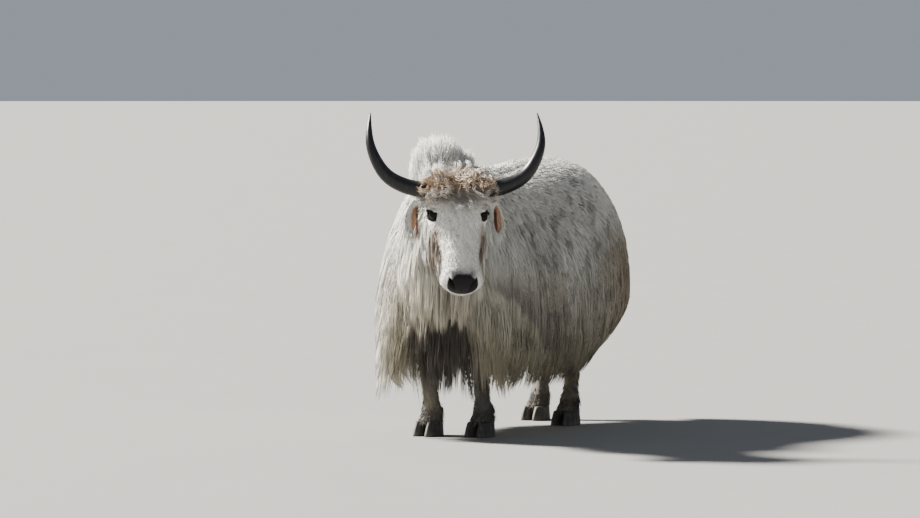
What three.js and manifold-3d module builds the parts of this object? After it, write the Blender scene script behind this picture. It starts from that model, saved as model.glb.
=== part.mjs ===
// A life-size standing yak, as a museum shows one: short fur on its back, a skirt of long hair that hangs
// to its knees, a tufted hump, upswept horns, and its head turned to its own left.
// Millimetres. While it is made, +Z is up, the yak faces -Y, its left is +X, and Y = 0 is at its forefeet.
import * as THREE from "three";
import { LoftGeometry } from "three/addons/geometries/LoftGeometry.js";
import { mergeVertices } from "three/addons/utils/BufferGeometryUtils.js";
import Module from "manifold-3d";

const wasm = await Module();
wasm.setup();

// Gap kept between nodes that touch, and half of it for the two sides of a cut.
const GAP = 0.3;

// The part's origin on the floor, under the middle of its bounding box.
const ORIGIN = new THREE.Vector3(119, 257, 0);

// Trunk and skirt: plan of the coat, its girth from hem to back, and the line of the back.
const COAT_HALF_WIDTH = 420;
const COAT_HALF_LENGTH = 800;
const COAT_MIDDLE_Y = 443;
const PLAN_SQUARENESS = 2.5;
const BULGE_RISE = 0.27;
const HEM_TUCK = 0.235;
const RIDGE_SHORTENING = 0.3;
const BACK_LINE = [
  [-360, 1150],
  [-120, 1222],
  [90, 1222],
  [270, 1180],
  [550, 1228],
  [740, 1243],
  [900, 1230],
  [1240, 1150],
];
const HEM = 200;
const REAR_HEM = [
  [500, HEM],
  [800, 345],
  [1100, 430],
  [1240, 445],
];
// Ahead of the forefeet the hem lifts over the opening between the forelegs, by distance from its middle.
const CHEST_OPENING_X = 90;
const CHEST_HEM = [
  [110, 440],
  [220, HEM],
];
// Depth of the core below the coat's outline, by rise: deep under the skirt, thin on the back.
const CORE_INSET = [
  [0, 52],
  [0.5, 44],
  [0.72, 10],
  [1, 8],
];
const BELLY = 430;
const BELLY_ARCH = 470;
const CORE_ABOVE_HEM = 100;
// How fast the plan tucks in below the bulge and closes in towards the back.
const TUCK_POWER = 2.2;
const RIDGE_POWER = 3;

// Vertical cuts that part the trunk into fore, middle and hind quarters.
const SHOULDER_CUT_Y = 230;
const HIP_CUT_Y = 720;

// Head: where the poll is, which way it faces, and how steeply the face hangs.
const POLL = new THREE.Vector3(365, -573, 1130);
const HEAD_YAW = THREE.MathUtils.degToRad(39);
const FACE_FROM_PLUMB = THREE.MathUtils.degToRad(28);

// Small maths

// A seeded random number from 0 to 1, the same on each run.
function seeded(seed) {
  let state = seed;
  return () => {
    state = (state * 1664525 + 1013904223) % 4294967296;
    return state / 4294967296;
  };
}

// A random amount either way, over a range of the given width.
function scatter(random, width) {
  return (random() - 0.5) * width;
}

// A smooth curve through [place, value] stops, level with its neighbours' slope at each stop.
function smooth(stops, place) {
  const last = stops.length - 1;
  const at = THREE.MathUtils.clamp(place, stops[0][0], stops[last][0]);
  let i = 0;
  while (i < last - 1 && stops[i + 1][0] < at) i++;
  const slope = (k) => {
    const a = stops[Math.max(k - 1, 0)];
    const b = stops[Math.min(k + 1, last)];
    return (b[1] - a[1]) / (b[0] - a[0]);
  };
  const span = stops[i + 1][0] - stops[i][0];
  const t = (at - stops[i][0]) / span;
  const tt = t * t;
  const ttt = tt * t;
  return (
    stops[i][1] * (2 * ttt - 3 * tt + 1) +
    stops[i + 1][1] * (3 * tt - 2 * ttt) +
    span * slope(i) * (ttt - 2 * tt + t) +
    span * slope(i + 1) * (ttt - tt)
  );
}

// Superellipse coordinate: cosine or sine with its curve squared off.
function squared(value, squareness) {
  return Math.sign(value) * Math.abs(value) ** (2 / squareness);
}

// Solids and meshes

// A closed geometry as a solid that faces outwards.
function solid(geometry) {
  const bare = new THREE.BufferGeometry();
  bare.setAttribute("position", geometry.getAttribute("position"));
  bare.setIndex(geometry.getIndex());
  const merged = mergeVertices(bare, 1e-3);
  const corners = merged.getIndex().array;
  const kept = [];
  for (let i = 0; i < corners.length; i += 3) {
    const [a, b, c] = [corners[i], corners[i + 1], corners[i + 2]];
    if (a !== b && b !== c && c !== a) kept.push([a, b, c]);
  }
  const vertProperties = merged.getAttribute("position").array;
  const shape = (faces) =>
    new wasm.Manifold(new wasm.Mesh({ numProp: 3, vertProperties, triVerts: new Uint32Array(faces.flat()) }));
  const made = shape(kept);
  return made.volume() < 0 ? shape(kept.map(([a, b, c]) => [a, c, b])) : made;
}

// A skin through rings of points, closed at each end by a fan to the middle of its last ring.
function loft(rings) {
  const closeTo = (ring) => {
    const middle = ring.reduce((sum, point) => sum.add(point), new THREE.Vector3()).divideScalar(ring.length);
    return ring.map(() => middle);
  };
  return solid(new LoftGeometry([closeTo(rings[0]), ...rings, closeTo(rings[rings.length - 1])]));
}

// The solid's largest closed piece, which drops any scrap that a cut left.
function largest(shape) {
  return shape.decompose().reduce((best, piece) => (piece.volume() > best.volume() ? piece : best));
}

function union(shapes) {
  return shapes.reduce((whole, shape) => whole.add(shape));
}

const yak = new THREE.Group();
yak.name = "yak";
yak.position.copy(ORIGIN).negate();

function addNode(name, shape, material) {
  const { vertProperties, triVerts } = largest(shape).getMesh();
  const geometry = new THREE.BufferGeometry();
  geometry.setAttribute("position", new THREE.BufferAttribute(vertProperties, 3));
  geometry.setIndex(new THREE.BufferAttribute(triVerts, 1));
  geometry.computeVertexNormals();
  const mesh = new THREE.Mesh(geometry, material);
  mesh.name = name;
  yak.add(mesh);
}

const coatWhite = new THREE.MeshStandardMaterial({ color: 0xd8d2c2, roughness: 0.9 });
const legHair = new THREE.MeshStandardMaterial({ color: 0xb3ab9a, roughness: 0.9 });
const hornBlack = new THREE.MeshStandardMaterial({ color: 0x1c1a1a, roughness: 0.35 });
const hoofBlack = new THREE.MeshStandardMaterial({ color: 0x24211f, roughness: 0.6 });
const eyeDark = new THREE.MeshStandardMaterial({ color: 0x120c0a, roughness: 0.1 });
const earRust = new THREE.MeshStandardMaterial({ color: 0xb87a4c, roughness: 0.85 });

// A large block whose face passes through a point, on the side that a direction points to.
const BLOCK = 4000;
function halfSpace(point, direction) {
  const block = new THREE.BoxGeometry(BLOCK, BLOCK, BLOCK);
  const out = direction.clone().normalize();
  block.applyQuaternion(new THREE.Quaternion().setFromUnitVectors(new THREE.Vector3(1, 0, 0), out));
  const middle = point.clone().addScaledVector(out, BLOCK / 2 + GAP / 2);
  return solid(block.translate(middle.x, middle.y, middle.z));
}

// A flat tapered lock of hair: four-sided sections along a path, wide along `sides`, closed to a point.
const LOCK_WIDTHS = [0.7, 1, 0.72];
function lock(path, sides, width, thick) {
  const sections = path.map((point, i) => {
    const share = i < LOCK_WIDTHS.length ? LOCK_WIDTHS[i] : 0;
    const ahead = path[Math.min(i + 1, path.length - 1)];
    const along = ahead.clone().sub(path[Math.max(i - 1, 0)]);
    const side = sides[i].clone().normalize();
    const out = new THREE.Vector3().crossVectors(side, along).normalize();
    const corner = (a, b) =>
      point
        .clone()
        .addScaledVector(side, (a * share * width) / 2)
        .addScaledVector(out, (b * share * thick) / 2);
    return [corner(1, 0), corner(0, 1), corner(-1, 0), corner(0, -1)];
  });
  return loft(sections);
}

// Trunk

function coatHem(x, y) {
  return y < 0 ? smooth(CHEST_HEM, Math.abs(x - CHEST_OPENING_X)) : smooth(REAR_HEM, y);
}

// A point of the coat's outline: `around` is the angle in plan, 0 at the left flank and 90 degrees at
// the rump, `rise` goes from 0 at the hem to 1 at the back, and `inset` shrinks it.
function coatPoint(around, rise, inset = 0) {
  const low = Math.max(0, (BULGE_RISE - rise) / BULGE_RISE);
  const high = Math.max(0, (rise - BULGE_RISE) / (1 - BULGE_RISE));
  const tuck = HEM_TUCK * low ** TUCK_POWER;
  const girth = (1 - tuck) * Math.max(0, 1 - high ** 2) ** (1 / 3);
  const reach = (1 - tuck / 2) * (1 - RIDGE_SHORTENING * high ** RIDGE_POWER);
  const planX = squared(Math.cos(around), PLAN_SQUARENESS);
  const planY = squared(Math.sin(around), PLAN_SQUARENESS);
  const x = (COAT_HALF_WIDTH - inset) * girth * planX;
  const y = COAT_MIDDLE_Y + (COAT_HALF_LENGTH - inset) * reach * planY;
  const hem = coatHem(COAT_HALF_WIDTH * planX, COAT_MIDDLE_Y + COAT_HALF_LENGTH * planY);
  const z = hem + rise * (smooth(BACK_LINE, y) - inset - hem);
  return new THREE.Vector3(x, y, z);
}

// The angle in plan that lies a share of the way round the coat's girth, so that even shares are evenly spaced.
const GIRTH_SAMPLES = 720;
const girthLengths = [0];
for (let i = 1; i <= GIRTH_SAMPLES; i++) {
  const at = (k) => coatPoint((k / GIRTH_SAMPLES) * 2 * Math.PI, BULGE_RISE).setZ(0);
  girthLengths.push(girthLengths[i - 1] + at(i).distanceTo(at(i - 1)));
}
function aroundAt(share) {
  const length = (share - Math.floor(share)) * girthLengths[GIRTH_SAMPLES];
  const after = girthLengths.findIndex((reached) => reached > length);
  const part = (length - girthLengths[after - 1]) / (girthLengths[after] - girthLengths[after - 1]);
  return ((after - 1 + part) / GIRTH_SAMPLES) * 2 * Math.PI;
}

function riseAtHeight(around, height) {
  const hem = coatPoint(around, 0).z;
  return (height - hem) / (coatPoint(around, 0.5).z - hem) / 2;
}

const TRUNK_COLUMNS = 36;
const TRUNK_ROWS = 8;

function trunkCore(grow = 0) {
  const columns = [...Array(TRUNK_COLUMNS).keys()].map((i) => aroundAt(i / TRUNK_COLUMNS));
  const sections = [];
  const floorRing = (share, height) =>
    columns.map((around) => {
      const edge = coatPoint(around, BULGE_RISE, CORE_INSET[0][1] - grow);
      return new THREE.Vector3(edge.x * share, COAT_MIDDLE_Y + (edge.y - COAT_MIDDLE_Y) * share, height - grow);
    });
  sections.push(floorRing(0, BELLY_ARCH), floorRing(0.7, BELLY));
  for (let row = 0; row <= TRUNK_ROWS; row++) {
    const climb = Math.sin(((row / TRUNK_ROWS) * Math.PI) / 2);
    sections.push(
      columns.map((around) => {
        const bottom = Math.max(BELLY, coatPoint(around, 0).z + CORE_ABOVE_HEM) - grow;
        const low = riseAtHeight(around, bottom);
        const rise = low + (1 - low) * climb;
        return coatPoint(around, rise, smooth(CORE_INSET, rise) - grow);
      }),
    );
  }
  return loft(sections);
}

// Tiers of the skirt: the rise of its roots and tips, how many go round, and how wide they are.
const SKIRT_TIERS = [
  { root: 0.58, tip: 0.27, count: 27, width: 146 },
  { root: 0.4, tip: 0.1, count: 29, width: 140 },
  { root: 0.25, tip: 0, count: 33, width: 130 },
];
const SKIRT_SCATTER = { around: 0.3, root: 0.05, tip: 0.06, sway: 0.03, width: 0.3 };
const HEM_RAGGEDNESS = 0.045;
const SKIRT_THICK = 26;
const SKIRT_BOW = 8;
const SKIRT_ROOT_DEPTH = 0.8;
// A short step in angle or share, to tell which way a surface runs.
const NEARBY = 0.02;
// Angle to each side of the rump's middle that the tail covers.
const UNDER_TAIL = 0.1;
const ROOT_SINK = 26;

function skirtLocks() {
  const random = seeded(7);
  const locks = [];
  for (const [tier, { root, tip, count, width }] of SKIRT_TIERS.entries()) {
    for (let i = 0; i < count; i++) {
      const around = aroundAt((i + (tier % 2) / 2 + scatter(random, SKIRT_SCATTER.around)) / count);
      if (Math.abs(around - Math.PI / 2) < UNDER_TAIL) continue;
      const bottom = Math.max(BELLY, coatPoint(around, 0).z + CORE_ABOVE_HEM);
      const lowestRoot = riseAtHeight(around, bottom) + SKIRT_SCATTER.root;
      const from = Math.max(root + scatter(random, SKIRT_SCATTER.root), lowestRoot);
      const to = tip > 0 ? tip + scatter(random, SKIRT_SCATTER.tip) : random() * HEM_RAGGEDNESS;
      const sway = scatter(random, SKIRT_SCATTER.sway);
      const wide = width * (1 + scatter(random, SKIRT_SCATTER.width));
      const path = [];
      const sides = [];
      for (let k = 0; k <= LOCK_WIDTHS.length; k++) {
        const t = k / LOCK_WIDTHS.length;
        const rise = from + (to - from) * t;
        const turn = around + sway * t * t;
        const lift = smooth(CORE_INSET, rise) * (1 - t) * SKIRT_ROOT_DEPTH;
        const inset = lift + (k === 0 ? ROOT_SINK : 0) + SKIRT_BOW * Math.abs(1 - 2 * t);
        path.push(coatPoint(turn, rise, inset));
        sides.push(coatPoint(turn + NEARBY, rise, inset).sub(coatPoint(turn - NEARBY, rise, inset)).setZ(0));
      }
      locks.push({ root: path[1], shape: lock(path, sides, wide, SKIRT_THICK) });
    }
  }
  return locks;
}

// Neck: an oval tube from inside the shoulders to the back of the head.
const NECK_STATIONS = [
  { centre: [0, 60, 900], wide: 190, tall: 250 },
  { centre: [28, -130, 925], wide: 200, tall: 255 },
  { centre: [105, -290, 945], wide: 180, tall: 245 },
  { centre: [215, -420, 965], wide: 160, tall: 215 },
  { centre: [300, -512, 975], wide: 140, tall: 190 },
  { centre: [350, -570, 978], wide: 120, tall: 165 },
];
const NECK_SQUARENESS = 2.2;
const NECK_SIDES = 14;
const NECK_STEPS = 6;

function neckTrack() {
  return new THREE.CatmullRomCurve3(NECK_STATIONS.map((s) => new THREE.Vector3(...s.centre)));
}

// A point of the neck's side: `share` runs from the shoulders to the head, and `turn` goes round from
// the left side over the crest.
function neckPoint(share, turn, grow = 0) {
  const track = neckTrack();
  const centre = track.getPoint(share);
  const ahead = track.getTangent(share).setZ(0).normalize();
  const side = new THREE.Vector3(-ahead.y, ahead.x, 0);
  const stops = (key) => NECK_STATIONS.map((s, i) => [i / (NECK_STATIONS.length - 1), s[key]]);
  const wide = smooth(stops("wide"), share) + grow;
  const tall = smooth(stops("tall"), share) + grow;
  const aside = wide * squared(Math.cos(turn), NECK_SQUARENESS);
  const above = tall * squared(Math.sin(turn), NECK_SQUARENESS);
  return centre.addScaledVector(side, aside).setZ(centre.z + above);
}

function neckCore(grow = 0) {
  const sections = [];
  for (let i = 0; i <= NECK_STEPS; i++) {
    const ring = [];
    for (let j = 0; j < NECK_SIDES; j++) ring.push(neckPoint(i / NECK_STEPS, (j / NECK_SIDES) * 2 * Math.PI, grow));
    sections.push(ring);
  }
  return loft(sections);
}

// Hair of the neck: short locks along its sides and longer ones under the throat.
const NECK_LOCK_ROWS = [
  { turn: 0.05, count: 3, drop: 180 },
  { turn: -0.4, count: 3, drop: 210 },
  { turn: -1, count: 2, drop: 200 },
];
const NECK_LOCK_WIDTH = 118;
const NECK_LOCK_LIFT = 22;
const NECK_LOCK_TURNOVER = 2.2;
// The stretch of the neck that carries them, from the shoulders to the head.
const NECK_LOCKS_FROM = 0.4;
const NECK_LOCKS_RUN = 0.5;
const NECK_SCATTER = { place: 0.4, drop: 0.3 };

function neckLocks() {
  const random = seeded(23);
  const locks = [];
  const place = (turn, share, drop) => {
    const root = neckPoint(share, turn, -ROOT_SINK);
    const skin = neckPoint(share, turn);
    const ahead = neckPoint(share + NEARBY, turn).sub(neckPoint(share - NEARBY, turn)).setZ(0);
    const out = skin.clone().sub(root).setZ(0).normalize();
    const path = [root];
    for (let k = 1; k <= LOCK_WIDTHS.length; k++) {
      const t = k / LOCK_WIDTHS.length;
      const lift = NECK_LOCK_LIFT * Math.sin(t * NECK_LOCK_TURNOVER);
      path.push(skin.clone().addScaledVector(out, lift).add(new THREE.Vector3(0, 0, -drop * t)));
    }
    locks.push({ root: skin, shape: lock(path, path.map(() => ahead), NECK_LOCK_WIDTH, SKIRT_THICK) });
  };
  for (const { turn, count, drop } of NECK_LOCK_ROWS) {
    for (let i = 0; i < count; i++) {
      const share = NECK_LOCKS_FROM + (NECK_LOCKS_RUN * (i + 0.5 + scatter(random, NECK_SCATTER.place))) / count;
      const fall = drop * (1 + scatter(random, NECK_SCATTER.drop));
      place(turn, share, fall);
      place(Math.PI - turn, share, fall);
    }
  }
  return locks;
}

// Cuts

const SHOULDER_CUT_YAW = 0.35;
const shoulderCut = {
  point: new THREE.Vector3(0, -265, 0),
  ahead: new THREE.Vector3(Math.sin(SHOULDER_CUT_YAW), -Math.cos(SHOULDER_CUT_YAW), 0),
};
const facing = new THREE.Vector3(Math.sin(HEAD_YAW), -Math.cos(HEAD_YAW), 0);
const NAPE_BEHIND_POLL = 118;
const napeCut = { point: POLL.clone().addScaledVector(facing, -NAPE_BEHIND_POLL), ahead: facing };

const behindShoulderCut = halfSpace(shoulderCut.point, shoulderCut.ahead.clone().negate());
const aheadOfShoulderCut = halfSpace(shoulderCut.point, shoulderCut.ahead);
const behindNapeCut = halfSpace(napeCut.point, napeCut.ahead.clone().negate());
const aheadOfNapeCut = halfSpace(napeCut.point, napeCut.ahead);

const axis = (x, y, z) => new THREE.Vector3(x, y, z);
const leftHalf = halfSpace(axis(0, 0, 0), axis(1, 0, 0));
const rightHalf = halfSpace(axis(0, 0, 0), axis(-1, 0, 0));
const fore = halfSpace(axis(0, SHOULDER_CUT_Y, 0), axis(0, -1, 0)).intersect(behindShoulderCut);
const middle = halfSpace(axis(0, SHOULDER_CUT_Y, 0), axis(0, 1, 0)).intersect(halfSpace(axis(0, HIP_CUT_Y, 0), axis(0, -1, 0)));
const hind = halfSpace(axis(0, HIP_CUT_Y, 0), axis(0, 1, 0));

// Legs: oval sections from the floor end up, each [height, shift back, half width, half depth] and, in a
// hind leg, the share of the hock's shift.
const CORONET = 66;
const FORELEG_SECTIONS = [
  [CORONET, 4, 56, 60],
  [92, 14, 44, 47],
  [125, 20, 44, 50],
  [165, 12, 36, 40],
  [240, 6, 36, 41],
  [290, 6, 43, 48],
  [330, 4, 48, 54],
  [375, 8, 47, 54],
  [450, 12, 58, 70],
  [560, 20, 70, 95],
];
const HINDLEG_SECTIONS = [
  [CORONET, 4, 54, 60, 0],
  [92, 14, 43, 46, 0.03],
  [125, 20, 43, 50, 0.1],
  [170, 14, 36, 41, 0.25],
  [250, 8, 36, 42, 0.52],
  [320, 8, 41, 52, 0.8],
  [375, 14, 45, 62, 1],
  [430, 2, 48, 66, 0.92],
  [500, -20, 58, 84, 0.65],
  [600, -50, 75, 120, 0.3],
];
// Each foot's place on the floor, and how far back the hock stands behind it.
const LEGS = {
  foreleg_right: { foot: [-100, -60], sections: FORELEG_SECTIONS, hockBack: 0 },
  foreleg_left: { foot: [124, 20], sections: FORELEG_SECTIONS, hockBack: 0 },
  hindleg_right: { foot: [-128, 930], sections: HINDLEG_SECTIONS, hockBack: 125 },
  hindleg_left: { foot: [140, 755], sections: HINDLEG_SECTIONS, hockBack: 85 },
};
const LEG_SIDES = 12;
// Room kept between a leg and the long hair that hangs past it.
const LEG_CLEARANCE = 2;

function legShape({ foot, sections, hockBack }, grow = 0) {
  const rings = sections.map(([height, back, wide, deep, hock = 0]) => {
    const ring = [];
    for (let i = 0; i < LEG_SIDES; i++) {
      const turn = (i / LEG_SIDES) * 2 * Math.PI;
      ring.push(
        new THREE.Vector3(
          foot[0] + (wide + grow) * Math.cos(turn),
          foot[1] + back + hockBack * hock + (deep + grow) * Math.sin(turn),
          height - (height === CORONET ? grow : 0),
        ),
      );
    }
    return ring;
  });
  return loft(rings);
}

// Hooves: each foot has two claws, flat underneath, with a cleft between them, and two dewclaws behind.
const CLAW_HEIGHT = CORONET - GAP;
const CLAW_HALF_WIDTH = 29;
const CLAW_TOE = 84;
const CLAW_HEEL = 48;
const CLEFT = 5;
const CLAW_SQUARENESS = 2.6;
const CLAW_SIDES = 12;
const TOE_NARROWING = 0.35;
const SPLAY_DEGREES = 3.4;
// Sections of a claw: height, share of its plan, share of its toe's length.
const CLAW_SECTIONS = [
  [0, 1, 1],
  [12, 1, 0.99],
  [40, 0.94, 0.86],
  [CLAW_HEIGHT, 0.86, 0.68],
];

// Plan of one claw: straight by the cleft, rounded outside, pointed at the toe.
function clawRing([height, share, toeShare]) {
  const ring = [];
  for (let i = 0; i < CLAW_SIDES; i++) {
    const turn = (i / CLAW_SIDES) * 2 * Math.PI;
    const ahead = Math.max(0, Math.sin(turn));
    const reach = ahead > 0 ? CLAW_TOE * toeShare : CLAW_HEEL * share;
    const x = CLAW_HALF_WIDTH * share * squared(Math.cos(turn), CLAW_SQUARENESS) * (1 - TOE_NARROWING * ahead ** 2);
    ring.push(new THREE.Vector3(x, -reach * Math.sin(turn), height));
  }
  return ring;
}

function clawShape(side) {
  const claw = loft(CLAW_SECTIONS.map(clawRing));
  return claw.rotate(0, 0, -side * SPLAY_DEGREES).translate(side * (CLAW_HALF_WIDTH + CLEFT / 2), 0, 0);
}

// Dewclaws: small knobs behind the fetlock, which is the third section of each leg.
const FETLOCK = 2;
const DEWCLAW_HEIGHT = 112;
const DEWCLAW_HALF_SIZE = [11, 12, 18];
const DEWCLAW_ASIDE = 21;
const DEWCLAW_BEHIND = 15;
const DEWCLAW_LEAN = 0.5;

function dewclawShape(side, legDepth) {
  const knob = new THREE.SphereGeometry(1, 7, 4);
  knob.scale(...DEWCLAW_HALF_SIZE);
  knob.rotateX(DEWCLAW_LEAN);
  knob.translate(side * DEWCLAW_ASIDE, legDepth + DEWCLAW_BEHIND, DEWCLAW_HEIGHT);
  return solid(knob);
}

// Head frame: `along` runs down the face from the poll, `out` stands off the face, `left` is its left.
const faceAlong = facing.clone().multiplyScalar(Math.sin(FACE_FROM_PLUMB)).setZ(-Math.cos(FACE_FROM_PLUMB));
const faceOut = facing.clone().multiplyScalar(Math.cos(FACE_FROM_PLUMB)).setZ(Math.sin(FACE_FROM_PLUMB));
const headLeft = new THREE.Vector3(Math.cos(HEAD_YAW), Math.sin(HEAD_YAW), 0);
const headFrame = new THREE.Matrix4().makeBasis(headLeft, faceOut, faceAlong).setPosition(POLL);

function headPoint(left, out, along) {
  return new THREE.Vector3(left, out, along).applyMatrix4(headFrame);
}

// Sections of the head: distance down the face, half width, face side, jaw side, squareness.
const HEAD_SECTIONS = [
  [-62, 52, -20, -92, 2],
  [-50, 96, 18, -128, 2.1],
  [-20, 128, 46, -148, 2.2],
  [26, 140, 60, -166, 2.3],
  [78, 142, 66, -190, 2.4],
  [121, 138, 65, -210, 2.4],
  [167, 122, 60, -214, 2.4],
  [212, 106, 54, -194, 2.4],
  [267, 94, 47, -160, 2.4],
  [322, 86, 41, -134, 2.4],
  [368, 85, 38, -118, 2.5],
  [404, 91, 38, -110, 2.6],
  [436, 92, 32, -106, 2.6],
  [459, 80, 16, -98, 2.4],
  [473, 52, -8, -84, 2.2],
  [478, 18, -32, -62, 2],
];
const HEAD_SIDES = 18;
const JAW_NARROWING = 0.3;

function headCore(grow = 0) {
  const last = HEAD_SECTIONS.length - 1;
  const sections = HEAD_SECTIONS.map(([along, wide, face, jaw, squareness], i) => {
    const stretch = i === 0 ? -grow : i === last ? grow : 0;
    const ring = [];
    for (let j = 0; j < HEAD_SIDES; j++) {
      const turn = (j / HEAD_SIDES) * 2 * Math.PI;
      const out = squared(Math.sin(turn), squareness);
      const narrow = out < 0 ? 1 - JAW_NARROWING * out * out : 1;
      const left = (wide + grow) * squared(Math.cos(turn), squareness) * narrow;
      ring.push(headPoint(left, (face + jaw) / 2 + ((face - jaw) / 2 + grow) * out, along + stretch));
    }
    return ring;
  });
  return loft(sections);
}

// Eyes: balls set in the sides of the head, each behind an almond opening in its lids.
const EYE = { left: 108, out: 7, along: 121, radius: 22 };
const EYE_GAZE = [0.86, 0.5, 0.06];
// From the inner corner of the eye, by the nose, up to the outer one.
const EYE_SLIT = [0.36, -0.45, -0.82];
const LID_HALF_SIZE = [34, 23, 25];
const LID_OPENING = { halfLength: 21, upper: 9, lower: 8, depth: 60 };

function eyeCentre(side) {
  return headPoint(side * EYE.left, EYE.out, EYE.along);
}

function ballAt(centre, radius, around = 12, high = 8) {
  return solid(new THREE.SphereGeometry(radius, around, high).translate(centre.x, centre.y, centre.z));
}

// Turns a piece's own axes to the eye's: its first axis along the slit, its third along the gaze.
function eyeFrame(side) {
  const [left, out, along] = EYE_GAZE;
  const [slitLeft, slitOut, slitAlong] = EYE_SLIT;
  const gaze = new THREE.Vector3(side * left, out, along).normalize();
  const slit = new THREE.Vector3(side * slitLeft, slitOut, slitAlong);
  slit.addScaledVector(gaze, -slit.dot(gaze)).normalize();
  const high = new THREE.Vector3().crossVectors(gaze, slit);
  const local = new THREE.Matrix4().makeBasis(slit, high, gaze).setPosition(side * EYE.left, EYE.out, EYE.along);
  return new THREE.Matrix4().multiplyMatrices(headFrame, local);
}

function lidRim(side) {
  const rim = new THREE.SphereGeometry(1, 14, 8);
  rim.scale(...LID_HALF_SIZE);
  return solid(rim.applyMatrix4(eyeFrame(side)));
}

// The opening's two edges are arcs that each reach half their control point's height.
function lidOpening(side) {
  const { halfLength, upper, lower, depth } = LID_OPENING;
  const almond = new THREE.Shape();
  almond.moveTo(-halfLength, 0);
  almond.quadraticCurveTo(0, 2 * upper, halfLength, 0);
  almond.quadraticCurveTo(0, -2 * lower, -halfLength, 0);
  const cut = new THREE.ExtrudeGeometry(almond, { depth, bevelEnabled: false, curveSegments: 4 });
  return solid(cut.applyMatrix4(eyeFrame(side)));
}

// Nostrils: hollows at the end of the muzzle that lean in at the top.
const NOSTRIL = { left: 46, out: 12, along: 450, halfSize: [18, 13, 25], lean: 0.75 };

function nostril(side) {
  const hollow = new THREE.SphereGeometry(1, 10, 6);
  hollow.scale(...NOSTRIL.halfSize);
  hollow.rotateY(side * NOSTRIL.lean);
  hollow.translate(side * NOSTRIL.left, NOSTRIL.out, NOSTRIL.along);
  return solid(hollow.applyMatrix4(headFrame));
}

// Mouth: a groove round the end of the muzzle between the lips, with the jaws joined behind it.
const MOUTH = { out: -62, along: 447, height: 5, slope: -0.22, widePast: 260, reach: 110 };
const MOUTH_PLUG = { along: 376, halfSize: [80, 80, 92] };

function mouthGroove() {
  const groove = new THREE.BoxGeometry(MOUTH.widePast, MOUTH.height, MOUTH.reach);
  groove.rotateX(MOUTH.slope);
  groove.translate(0, MOUTH.out, MOUTH.along);
  const plug = new THREE.SphereGeometry(1, 16, 8);
  plug.scale(...MOUTH_PLUG.halfSize);
  plug.translate(0, MOUTH.out, MOUTH_PLUG.along);
  return solid(groove.applyMatrix4(headFrame)).subtract(solid(plug.applyMatrix4(headFrame)));
}

// Forelock: tousled locks in rows that fall from the poll over the forehead, past the horns' roots.
const FORELOCK_ROWS = [-44, -14, 22];
const FORELOCK_PER_ROW = 4;
const FORELOCK_HALF_WIDTH = 118;
const FORELOCK_SIZE = { run: 62, lift: 26, width: 46, thick: 20 };
const FORELOCK_SCATTER = { across: 0.5, run: 32, lift: 16, curl: 50 };
// How far the poll falls away to the sides, as a share of its height.
const CROWN_FALL = 0.45;

function forelockLocks() {
  const random = seeded(41);
  const locks = [];
  const crownLine = HEAD_SECTIONS.map(([along, , face]) => [along, face]);
  for (const start of FORELOCK_ROWS) {
    for (let i = 0; i < FORELOCK_PER_ROW; i++) {
      const across = ((i + 0.5 + scatter(random, FORELOCK_SCATTER.across)) / FORELOCK_PER_ROW) * 2 - 1;
      const run = FORELOCK_SIZE.run + FORELOCK_SCATTER.run * random();
      const lift = FORELOCK_SIZE.lift + FORELOCK_SCATTER.lift * random();
      const curl = scatter(random, FORELOCK_SCATTER.curl);
      const crown = 1 - CROWN_FALL * across * across;
      const path = [];
      for (let k = 0; k <= LOCK_WIDTHS.length; k++) {
        const t = k / LOCK_WIDTHS.length;
        const along = start + run * t;
        const rise = k === 0 ? -ROOT_SINK : lift * Math.sin(Math.PI * (0.15 + 0.7 * t));
        path.push(headPoint(across * FORELOCK_HALF_WIDTH + curl * t * t, smooth(crownLine, along) * crown + rise, along));
      }
      locks.push(lock(path, path.map(() => headLeft), FORELOCK_SIZE.width, FORELOCK_SIZE.thick));
    }
  }
  return locks;
}

// Horns: round in section, out from the sides of the poll, then up, with the tips turned in and back.
const HORN_CENTRES = [
  [95, -22, -4],
  [200, -28, 8],
  [306, -24, 62],
  [370, -30, 176],
  [376, -60, 258],
  [366, -104, 330],
];
const HORN_RADII = [
  [0, 36],
  [0.25, 34],
  [0.5, 28],
  [0.75, 19],
  [0.92, 9],
  [1, 3],
];
// The core of a horn ends short of the middle of the poll.
const HORN_CORE_END = 60;
const HORN_STEPS = 13;
const HORN_SIDES = 10;

// Horn points are [left, forward, up] from the poll.
function hornShape(side, grow = 0) {
  const places = HORN_CENTRES.map(([left, forward, up]) =>
    POLL.clone().addScaledVector(headLeft, side * left).addScaledVector(facing, forward).add(axis(0, 0, up)),
  );
  const track = new THREE.CatmullRomCurve3(places, false, "centripetal");
  const sections = [];
  for (let i = 0; i <= HORN_STEPS; i++) {
    const share = i / HORN_STEPS;
    const centre = track.getPointAt(share);
    const tangent = track.getTangentAt(share);
    const flat = facing.clone().addScaledVector(tangent, -facing.dot(tangent)).normalize();
    const high = new THREE.Vector3().crossVectors(tangent, flat);
    const radius = smooth(HORN_RADII, share) + grow;
    const ring = [];
    for (let j = 0; j < HORN_SIDES; j++) {
      const turn = (j / HORN_SIDES) * 2 * Math.PI;
      ring.push(
        centre.clone().addScaledVector(flat, radius * Math.cos(turn)).addScaledVector(high, radius * Math.sin(turn)),
      );
    }
    sections.push(ring);
  }
  return loft(sections);
}

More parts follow.
